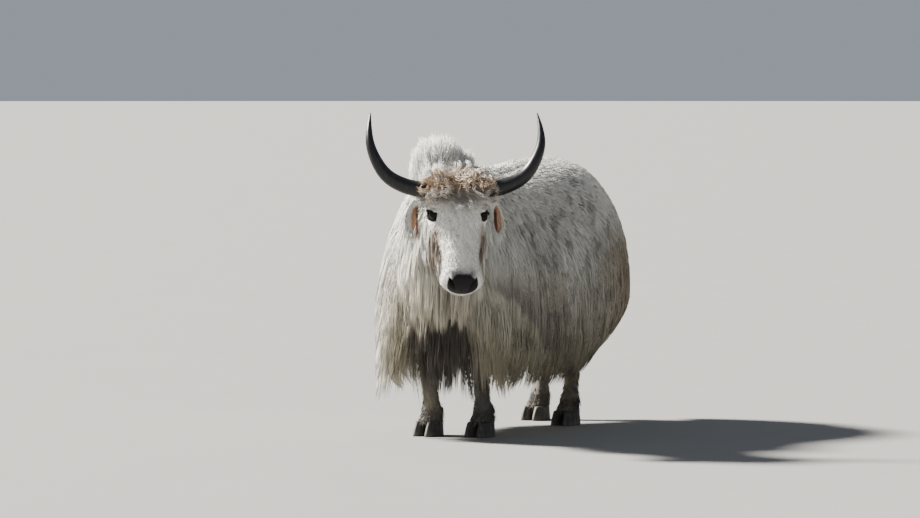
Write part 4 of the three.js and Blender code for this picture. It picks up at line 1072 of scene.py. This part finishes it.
# Hair of the crest, neck, hump, chest, head and legs grows from the skin itself.
skin_mesh = skin.data
skin_points = np.empty(len(skin_mesh.vertices) * 3, np.float32)
skin_mesh.vertices.foreach_get("co", skin_points)
skin_points = skin_points.reshape(-1, 3).astype(float) - FEET
skin_mesh.calc_loop_triangles()
skin_faces = np.empty(len(skin_mesh.loop_triangles) * 3, np.int32)
skin_mesh.loop_triangles.foreach_get("vertices", skin_faces)
skin_faces = skin_faces.reshape(-1, 3)
skin_tree = BVHTree.FromPolygons(skin_points.tolist(), skin_faces.tolist())
corner = skin_points[skin_faces]
face_cross = np.cross(corner[:, 1] - corner[:, 0], corner[:, 2] - corner[:, 0])
face_area = np.linalg.norm(face_cross, axis=1) / 2
face_normal = unit(face_cross)
face_middle = corner.mean(1)


def roots_on_skin(random, count, density):
    """Random places on the skin with their normals; density is one weight for each face."""
    weight = face_area * density
    face = random.choice(len(weight), count, p=weight / weight.sum())
    a, b = np.sort(random.random((2, count)), axis=0)
    shares = np.stack([a, b - a, 1 - b], -1)
    return np.einsum("nk,nkj->nj", shares, corner[face]), face_normal[face]


def grown(roots, normals, flow, lengths, steps, weight, lift, clear):
    """Paths from skin roots: each leaves along its flow, bends down under its weight, and stays off the skin.

    flow is the way each tuft sets off, lift how much of the normal is in it, weight how fast it turns down,
    and clear how far off the skin the tuft lies from its middle on."""
    flow = np.broadcast_to(flow, normals.shape)
    heading = unit(unit(flow - np.einsum("ij,ij->i", flow, normals)[:, None] * normals) + normals * lift)
    here = roots - normals * 0.003
    paths = [here]
    down = np.array([0, 0, -1.0])
    for k in range(1, steps):
        heading = unit(heading + down * weight)
        here = here + heading * (lengths / (steps - 1))[:, None]
        held = here.copy()
        for i, place in enumerate(here.tolist()):
            near, normal = (np.array(v) for v in skin_tree.find_nearest(place)[:2])
            gap = clear[i] * min(1.0, k / 2)
            if (here[i] - near) @ normal < gap:
                held[i] = near + normal * gap
        heading = unit(held - paths[-1])
        here = held
        paths.append(here)
    return np.stack(paths, 1)


def flat_place(points, middle):
    """Places on the skin laid flat, by the angle about an upright middle line and the height."""
    angle = np.arctan2(points[:, 0] - middle[0], points[:, 1] - middle[1])
    return np.stack([0.5 + angle / (2 * np.pi), points[:, 2] / 1.5], -1)


# Parts of the skin, as one truth for each of its faces.
EAR_FROM = 0.146
head_place = in_head_frame(face_middle)
behind_poll = -(face_middle - POLL) @ facing
in_head = (head_place[:, 2] > -0.075) & (behind_poll < 0.16)
in_head = in_head & (face_middle[:, 2] > 0.55) & (face_middle[:, 1] < -0.40)
on_ear = (np.abs(head_place[:, 0]) > EAR_FROM) & (behind_poll < 0.11) & (behind_poll > 0.04)
on_ear = on_ear & (face_middle[:, 2] > 0.90)
in_neck = ~on_ear & (face_middle[:, 1] < -0.10) & (behind_poll > 0.08) & ~(in_head & (behind_poll < 0.10))


def off_eyes_and_ears(paths):
    """Which paths stay clear of the bare lids and of the front of the ears."""
    left, out, along = np.moveaxis(in_head_frame(paths), -1, 0)
    from_eye = np.linalg.norm(np.stack([np.abs(left), out, along], -1) - EYE, axis=-1)
    on_lid = (lid_distance(np.abs(left), out, along) < 1) & (from_eye < 0.06)
    by_ear = (np.abs(left) > 0.150) & (along > 0.030) & (along < 0.18) & ((paths - POLL) @ facing > -0.10)
    return ~(on_lid | by_ear).any(1)


# Neck and chest
# Long hair hangs down both sides of the neck and under the throat, and a fringe falls from the brisket.
NECK_TUFTS = 7300
NECK_LOCKS = 420


def neck_hair():
    random = np.random.default_rng(13)
    density = in_neck * (face_middle[:, 2] > 0.45)
    roots, normals = roots_on_skin(random, NECK_TUFTS, density)
    flow = np.array([-0.5, 0.75, 0]) * 0.6 + np.array([0, 0, -1.0])
    low = ramp(roots[:, 2], 1.1, 0.8)
    lengths = random.uniform(0.8, 1.15, NECK_TUFTS) * (0.08 + 0.22 * low)
    clear = random.uniform(0.006, 0.030, NECK_TUFTS) * (0.5 + 0.5 * low)
    paths = grown(roots, normals, flow, lengths, 6, 0.35, 0.45, clear)
    paths, lock = gathered(paths, random, NECK_LOCKS, 0.62)
    tones = lock_tones(random, lock, NECK_LOCKS, 0.55)
    widths = random.uniform(0.0038, 0.0062, NECK_TUFTS)
    free = off_eyes_and_ears(paths)
    on_left = normals @ head_left > 0
    parts = {"neck_hair_left": free & on_left, "neck_hair_right": free & ~on_left}
    hair_pieces(parts, paths, normals, widths, flat_place(roots, (0.15, -0.3)), tones)


neck_hair()

# Hump
# Stiff wavy hair that stands up over the withers and leans out a little at the sides.
HUMP_TUFTS = 4000
HUMP_LOCKS = 300
HUMP_STEPS = 5


def hump_hair():
    random = np.random.default_rng(14)
    off = (face_middle - HUMP_CENTRE) / (HUMP_SIZE * 1.25)
    density = (np.linalg.norm(off, axis=1) < 1.1) & (face_middle[:, 2] > 1.14)
    roots, normals = roots_on_skin(random, HUMP_TUFTS, density)
    outward = unit((roots - HUMP_CENTRE) * [1, 1, 0])
    top = ramp(normals[:, 2], 0.0, 0.8)[:, None]
    flow = np.array([0, 0, 1.0]) + normals * [0.20, 0.30, 0.10]
    lengths = random.uniform(0.060, 0.100, HUMP_TUFTS)[:, None] * (0.60 + 0.40 * top)
    t = np.linspace(0, 1, HUMP_STEPS)[None, :, None]
    paths = roots[:, None] - normals[:, None] * 0.004 + unit(flow)[:, None] * lengths[:, None] * t
    lean = unit(random.normal(0, 1, (HUMP_TUFTS, 1, 3)) + outward[:, None] * 0.6)
    paths = paths + lean * lengths[:, None] * 0.16 * t**2
    paths = paths + random.normal(0, 0.006, (HUMP_TUFTS, 1, 3)) * t**1.5
    paths, lock = gathered(paths, random, HUMP_LOCKS, 0.40)
    tones = 0.5 + 0.5 * lock_tones(random, lock, HUMP_LOCKS, 0.5)
    widths = random.uniform(0.0035, 0.0055, HUMP_TUFTS)
    hair_piece("hump_hair", paths, normals, widths, flat_place(roots, HUMP_CENTRE), tones)


hump_hair()

# Crest
# Wool along the top of the back, lying backwards, where the two sides part.
CREST_TUFTS = 1600
CREST_LOCKS = 160


def crest_hair():
    random = np.random.default_rng(20)
    x, y, z = face_middle.T
    density = (np.abs(x) < 0.035) & (z > 1.08) & (y > 0.0) & (y < 1.08) & (face_normal[:, 2] > 0.3)
    roots, normals = roots_on_skin(random, CREST_TUFTS, density)
    flow = np.array([0, 1.0, 0]) + random.normal(0, 0.25, (CREST_TUFTS, 3))
    lengths = random.uniform(0.045, 0.075, CREST_TUFTS)
    clear = random.uniform(0.016, 0.026, CREST_TUFTS)
    paths = grown(roots, normals, flow, lengths, 4, 0.1, 0.5, clear)
    paths, lock = gathered(paths, random, CREST_LOCKS, 0.3)
    tones = lock_tones(random, lock, CREST_LOCKS, 0.5)
    widths = random.uniform(0.004, 0.0065, CREST_TUFTS)
    hair_piece("crest_hair", paths, normals, widths, roots[:, :2] / 2 + 0.4, tones)


crest_hair()

# Face
# Very short hair lies down the face and cheeks, bare on the nose and round the eyes.
FACE_TUFTS = 9000


def face_hair():
    random = np.random.default_rng(15)
    left, out, along = head_place.T
    eye_distance = np.linalg.norm(np.stack([np.abs(left), out, along], -1) - EYE, axis=1)
    on_pad = (along > 0.415) & (out > -0.05) & (np.abs(left) < 0.072)
    lips = (along > 0.36) & (np.abs(out - mouth_line(along)) < 0.010)
    density = (in_head & (eye_distance > 0.024) & ~on_pad & ~lips) + 1.5 * on_ear
    roots, normals = roots_on_skin(random, FACE_TUFTS, density)
    place = in_head_frame(roots)
    flow = face_along + 0.35 * np.sign(place[:, :1]) * head_left - 0.2 * face_out
    jaw = ramp(-place[:, 1], 0.09, 0.19)
    muzzle = ramp(place[:, 2], 0.25, 0.45)
    lengths = random.uniform(0.016, 0.028, FACE_TUFTS) * (1 + 2.2 * jaw) * (1 - 0.45 * muzzle)
    clear = random.uniform(0.0012, 0.0032, FACE_TUFTS)
    paths = grown(roots, normals, flow, lengths, 3, 0.05, 0.14, clear)
    tones = random.uniform(0.25, 1, FACE_TUFTS)
    widths = random.uniform(0.0026, 0.0042, FACE_TUFTS)
    own = off_eyes_and_ears(paths) | (np.abs(place[:, 0]) > EAR_FROM)
    hair_pieces({"face_hair": own}, paths, normals, widths, place[:, [0, 2]] + 0.4, tones)


face_hair()

# Forelock
# Curly tousled locks over the poll and the forehead, and round the horns' roots.
FORELOCK_TUFTS = 2600
FORELOCK_STEPS = 8
FORELOCK_LOCKS = 120
CURL_RADIUS = 0.014


def forelock():
    random = np.random.default_rng(16)
    left, out, along = head_place.T
    density = ~on_ear & (along > -0.10) & (along < 0.082) & (out > -0.10) & (np.abs(left) < 0.150)
    density = density * (behind_poll < 0.10) * (1 + 1.5 * (np.abs(left) > 0.08))
    roots, normals = roots_on_skin(random, FORELOCK_TUFTS, density)
    place = in_head_frame(roots)
    aside = ramp(np.abs(place[:, :1]), 0.06, 0.11)
    flow = face_along * (1 - 0.6 * aside) + (0.5 + 0.9 * aside) * np.sign(place[:, :1]) * head_left
    middle = ramp(np.abs(place[:, 0]), 0.10, 0.04)
    low = ramp(place[:, 2], 0.01, 0.065)
    lengths = random.uniform(0.055, 0.10, FORELOCK_TUFTS) * (0.75 + (0.25 + 0.35 * low) * middle)
    clear = random.uniform(0.008, 0.034, FORELOCK_TUFTS) * (1 - 0.6 * ramp(place[:, 2], 0.03, 0.066))
    paths = grown(roots, normals, flow, lengths, FORELOCK_STEPS, 0.04, 0.8, clear)
    paths, lock = gathered(paths, random, FORELOCK_LOCKS, 0.62)
    t = np.linspace(0, 1, FORELOCK_STEPS)
    turn = random.uniform(0, 2 * np.pi, FORELOCK_LOCKS)[lock][:, None]
    winding = random.choice([-1, 1], FORELOCK_LOCKS) * random.uniform(5, 8, FORELOCK_LOCKS)
    turn = turn + t * winding[lock][:, None]
    curl = CURL_RADIUS * t[None] ** 0.7 * (1 - 0.45 * low)[:, None]
    paths = paths + (curl * np.cos(turn))[..., None] * head_left
    paths = paths + (curl * np.sin(turn))[..., None] * face_along
    paths = paths + (0.5 * curl * (1 + np.sin(turn * 0.8)))[..., None] * face_out
    tones = lock_tones(random, lock, FORELOCK_LOCKS, 0.8)
    widths = random.uniform(0.0030, 0.0055, FORELOCK_TUFTS)
    parts = {"forelock": off_eyes_and_ears(paths)}
    hair_pieces(parts, paths, normals, widths, place[:, [0, 2]] + 0.4, tones)


forelock()

# Cheeks
# Longer hair hangs from the cheeks and the jaw beside the muzzle.
CHEEK_TUFTS = 1500
CHEEK_LOCKS = 110


def cheek_hair():
    random = np.random.default_rng(19)
    left, out, along = head_place.T
    density = in_head * (out < -0.03) * (along > 0.09) * (along < 0.26) * (np.abs(left) > 0.03)
    roots, normals = roots_on_skin(random, CHEEK_TUFTS, density)
    place = in_head_frame(roots)
    lengths = random.uniform(0.08, 0.15, CHEEK_TUFTS)
    clear = random.uniform(0.003, 0.014, CHEEK_TUFTS)
    flow = np.array([0, 0, -1.0]) + 0.3 * face_along
    paths = grown(roots, normals, flow, lengths, 6, 0.25, 0.35, clear)
    paths, lock = gathered(paths, random, CHEEK_LOCKS, 0.7)
    tones = lock_tones(random, lock, CHEEK_LOCKS, 0.6)
    widths = random.uniform(0.0030, 0.0050, CHEEK_TUFTS)
    parts = {"cheek_hair": off_eyes_and_ears(paths)}
    hair_pieces(parts, paths, normals, widths, place[:, [0, 2]] + 0.4, tones)


cheek_hair()

# Leg hair
# Short and close on the legs, a little longer behind the knees and over the hooves.
LEG_TUFTS = 5000


def leg_hair():
    random = np.random.default_rng(17)
    x, _, z = face_middle.T
    density = (z < 0.46) & (z > 0.07) & (np.abs(x) < 0.26)
    density = density * (1 + 2 * (z < 0.14)) * (face_normal[:, 2] > -0.8)
    roots, normals = roots_on_skin(random, LEG_TUFTS, density)
    flow = np.array([0, 0.25, -1.0])
    low = ramp(roots[:, 2], 0.14, 0.09)
    fetlock = ramp(roots[:, 2], 0.17, 0.14) * ramp(roots[:, 2], 0.09, 0.11) * ramp(normals[:, 1], 0.1, 0.6)
    lengths = random.uniform(0.022, 0.038, LEG_TUFTS) * (1 + 0.3 * low + 1.0 * fetlock)
    clear = random.uniform(0.002, 0.006, LEG_TUFTS) * (1 + low + 3 * fetlock)
    paths = grown(roots, normals, flow, lengths, 3, 0.2, 0.25, clear)
    tones = random.uniform(0.1, 0.9, LEG_TUFTS)
    widths = random.uniform(0.003, 0.005, LEG_TUFTS)
    hair_piece("leg_hair", paths, normals, widths, flat_place(roots, (0, 0.4)), tones)


leg_hair()

# Tail
# A long brush of hair that hangs from the dock to below the hocks.
TAIL_TUFTS = 2400
TAIL_LOCKS = 90


def tail_hair():
    random = np.random.default_rng(18)
    root = random.random(TAIL_TUFTS) ** 0.8 * 0.70
    turn = random.uniform(0, 2 * np.pi, TAIL_TUFTS)
    t = np.linspace(0, 1, 6)
    reach = random.uniform(0.30, 0.46, TAIL_TUFTS)
    end = np.minimum(root + reach, random.uniform(0.90, 0.985, TAIL_TUFTS))
    share = root[:, None] + (end - root)[:, None] * t
    centre, ahead, size = track(TAIL_STATIONS, share)
    side = np.broadcast_to(np.array([1.0, 0, 0]), ahead.shape)
    back = unit(np.cross(side, ahead))
    spread = (0.58 + random.uniform(0.12, 0.40, TAIL_TUFTS)[:, None] * np.clip(t * 3, 0, 1))[..., None]
    out = np.cos(turn)[:, None, None] * side + np.sin(turn)[:, None, None] * back
    paths, lock = gathered(centre + size * spread * out, random, TAIL_LOCKS, 0.6)
    tones = lock_tones(random, lock, TAIL_LOCKS, 0.5)
    widths = random.uniform(0.004, 0.0065, TAIL_TUFTS)
    hair_piece("tail_hair", paths, out, widths, np.stack([turn / (2 * np.pi), root], -1), tones)


tail_hair()

# Horns
# Smooth black horn, round in section, out from the poll and up, faintly ringed and rougher near the root.
HORN_STATIONS = [
    (0.095, -0.022, -0.004, 0.036),
    (0.200, -0.028, 0.008, 0.0345),
    (0.306, -0.024, 0.062, 0.0300),
    (0.370, -0.030, 0.176, 0.0215),
    (0.376, -0.060, 0.258, 0.0130),
    (0.366, -0.104, 0.330, 0.0030),
]
horn_material, shader, place = new_material("horn", 0.34)
across = abs(head_wires(place)[0])
grain = place.noise(70.0, 4.0, stretch=(1, 1, 0.35))
rings = (across * 520.0 + grain * 5.0).sine()
near_root = across.ramp(0.24, 0.10)
HORN_BLACK, HORN_GREY = colour(0.008, 0.0075, 0.009), colour(0.045, 0.038, 0.034)
horn_shade = place.plain(HORN_BLACK).mix(HORN_GREY, grain.ramp(0.5, 0.75) * 0.35 + near_root * 0.25)
wire_in(horn_shade, shader, "Base Color")
wire_in(0.26 + grain * 0.20 + near_root * 0.2, shader, "Roughness")
grain = (("Height", rings * near_root * 0.6 + grain * 0.5), ("Strength", 0.35), ("Distance", 0.002))
wire_in(place.node("Bump", inputs=grain), shader, "Normal")
shader.inputs["Specular IOR Level"].default_value = 0.35


def eased(rings, reach=9):
    """Rings each moved so that their middles follow the running mean of the middles near them."""
    middles = rings.mean(1, keepdims=True)
    before = 2 * middles[:1] - middles[reach:0:-1]
    after = 2 * middles[-1:] - middles[-2 : -reach - 2 : -1]
    padded = np.concatenate([before, middles, after])
    means = np.stack([padded[k : k + 2 * reach + 1].mean(0) for k in range(len(middles))])
    return rings + means - middles


for name, side in (("left", 1), ("right", -1)):
    stations = [
        (*(POLL + side * left_way * head_left + forward * facing + [0, 0, up]), radius)
        for left_way, forward, up, radius in HORN_STATIONS
    ]
    rings_made = eased(tube_rings(stations, np.linspace(0, 1, 120), 40, 1.0, facing))
    horn = new_piece("horn_shell_" + name, *closed_skin(FEET + rings_made))
    horn.data.materials.append(horn_material)
    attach(horn, "root")
    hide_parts("horn_" + name)

# Eyes
# Dark brown, nearly black, wet balls deep between dark lids.
eye_material, shader, place = new_material("eye", 0.07)
IRIS_DARK, IRIS_BROWN = colour(0.008, 0.005, 0.004), colour(0.022, 0.012, 0.008)
flecks = place.noise(180.0, 3.0).ramp(0.45, 0.7) * 0.5
wire_in(place.plain(IRIS_DARK).mix(IRIS_BROWN, flecks), shader, "Base Color")
shader.inputs["Specular IOR Level"].default_value = 0.08
for name in ("left", "right"):
    low, high = (np.array(v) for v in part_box("eye_" + name))
    rings_made = ball_rings((low + high) / 2, np.full(3, EYE_RADIUS), 40, 60)
    eye = new_piece("eyeball_" + name, *closed_skin(rings_made))
    eye.data.materials.append(eye_material)
    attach(eye, "root")
    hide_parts("eye_" + name)

# Hooves
# Two dark worn claws on each foot, flat below with a narrow cleft, and two small dewclaws behind them.
CLAW_HEIGHT = 0.0657
CLAW_HALF_WIDTH = 0.029
CLAW_TOE, CLAW_HEEL = 0.084, 0.048
CLEFT = 0.005
CLAW_PROFILE = [(0, 1, 1), (0.012, 1, 0.99), (0.040, 0.94, 0.86), (CLAW_HEIGHT, 0.86, 0.68)]

hoof_material, shader, place = new_material("hoof", 0.6)
z = axis_of(place, 2)
grain = place.noise(60.0, 4.0, stretch=(1, 1, 0.25))
layers = (z * 900.0 + grain * 4.0).sine()
HOOF_DARK, HOOF_DUST = colour(0.035, 0.032, 0.030), colour(0.16, 0.14, 0.11)
shade = place.plain(HOOF_DARK).mix(HOOF_DUST, grain.ramp(0.45, 0.7) * 0.5 + z.ramp(0.03, 0.0) * 0.35)
wire_in(shade, shader, "Base Color")
grain = (("Height", layers * 0.3 + grain), ("Strength", 0.4), ("Distance", 0.0015))
wire_in(place.node("Bump", inputs=grain), shader, "Normal")


def claw_rings():
    """Rings of one claw about its own middle: straight by the cleft, rounded outside, pointed at the toe."""
    walls = np.linspace(0.006, CLAW_HEIGHT - 0.002, 16)
    height = np.concatenate([[0, 0.0015], walls, [CLAW_HEIGHT]])[:, None]
    profile = np.array(CLAW_PROFILE)
    share, toe = smooth(profile[:, [0, 1]], height), smooth(profile[:, [0, 2]], height)
    edge = np.where(height < 0.001, 0.97, 1.0) * np.where(height > CLAW_HEIGHT - 0.001, 0.94, 1.0)
    turn = full_turn(40)[None]
    forward = np.where(np.sin(turn) > 0, CLAW_TOE * toe, CLAW_HEEL * share)
    pinch = np.where(np.sin(turn) > 0, 1 - 0.35 * np.sin(turn) ** 2, 1)
    x = CLAW_HALF_WIDTH * share * edge * squared(np.cos(turn), 2.6) * pinch
    y = -forward * edge * squared(np.sin(turn), 2.1)
    return np.stack(np.broadcast_arrays(x, y, height), -1)


for leg, (foot_x, foot_y, *_) in LEGS.items():
    for name, side in (("left", 1), ("right", -1)):
        rings_made = claw_rings() + [foot_x + side * (CLAW_HALF_WIDTH + CLEFT / 2), foot_y, 0]
        claw = new_piece(f"{leg}_hoof_{name}", *closed_skin(FEET + rings_made))
        low, high = (np.array(v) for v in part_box(f"{leg}_dewclaw_{name}"))
        rings_made = ball_rings((low + high) / 2, (high - low) / 2, 20, 24)
        knob = new_piece(f"{leg}_spur_{name}", *closed_skin(rings_made))
        for piece, node in ((claw, "claw"), (knob, "dewclaw")):
            piece.data.materials.append(hoof_material)
            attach(piece, "root")
            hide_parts(f"{leg}_{node}_{name}")

# Floor and light
# A plain pale floor, a warm light from far off on the yak's right and above, and soft fill from ahead.
FLOOR_RADIUS = 300
FLOOR_CORNERS = 96
FLOOR_GREY = colour(0.20, 0.197, 0.19)
YAK_MIDDLE = Vector((0, 0, 0.8))
SUN_PLACE, SUN_STRENGTH, SUN_TINT = (-7.0, -1.2, 6.4), 26, (1.0, 0.97, 0.90)
SUN_ANGLE = math.radians(7)
FILL_PLACE, FILL_POWER, FILL_TINT = (6.0, -8.5, 3.5), 50, (0.74, 0.86, 1.0)
FILL_SIZE = 5.0
SKY_BLUE, SKY_STRENGTH = (0.80, 0.88, 1.0, 1), 0.38

turn = full_turn(FLOOR_CORNERS)
rim = FLOOR_RADIUS * np.stack([np.cos(turn), np.sin(turn), 0 * turn], -1)
floor = new_piece("floor", rim, [np.arange(FLOOR_CORNERS)[None]])
floor_material, shader, place = new_material("floor", 0.9)
wire_in(place.plain(FLOOR_GREY).tint(0.96 + place.noise(1.5, 2.0) * 0.08), shader, "Base Color")
floor.data.materials.append(floor_material)


def add_light(name, kind, place, power, tint):
    """A light of the given kind at a place, turned towards the yak's middle."""
    data = bpy.data.lights.new(name, kind)
    data.energy, data.color = power, tint
    light = bpy.data.objects.new(name, data)
    bpy.context.collection.objects.link(light)
    light.location = place
    light.rotation_euler = (YAK_MIDDLE - Vector(place)).to_track_quat("-Z", "Y").to_euler()
    return data


sun = add_light("sun", "SUN", SUN_PLACE, SUN_STRENGTH, SUN_TINT)
sun.angle = SUN_ANGLE
fill = add_light("fill", "AREA", FILL_PLACE, FILL_POWER, FILL_TINT)
fill.shape, fill.size = "DISK", FILL_SIZE
world = bpy.data.worlds.new("studio")
bpy.context.scene.world = world
world.use_nodes = True
background = world.node_tree.nodes["Background"]
background.inputs["Color"].default_value = SKY_BLUE
background.inputs["Strength"].default_value = SKY_STRENGTH
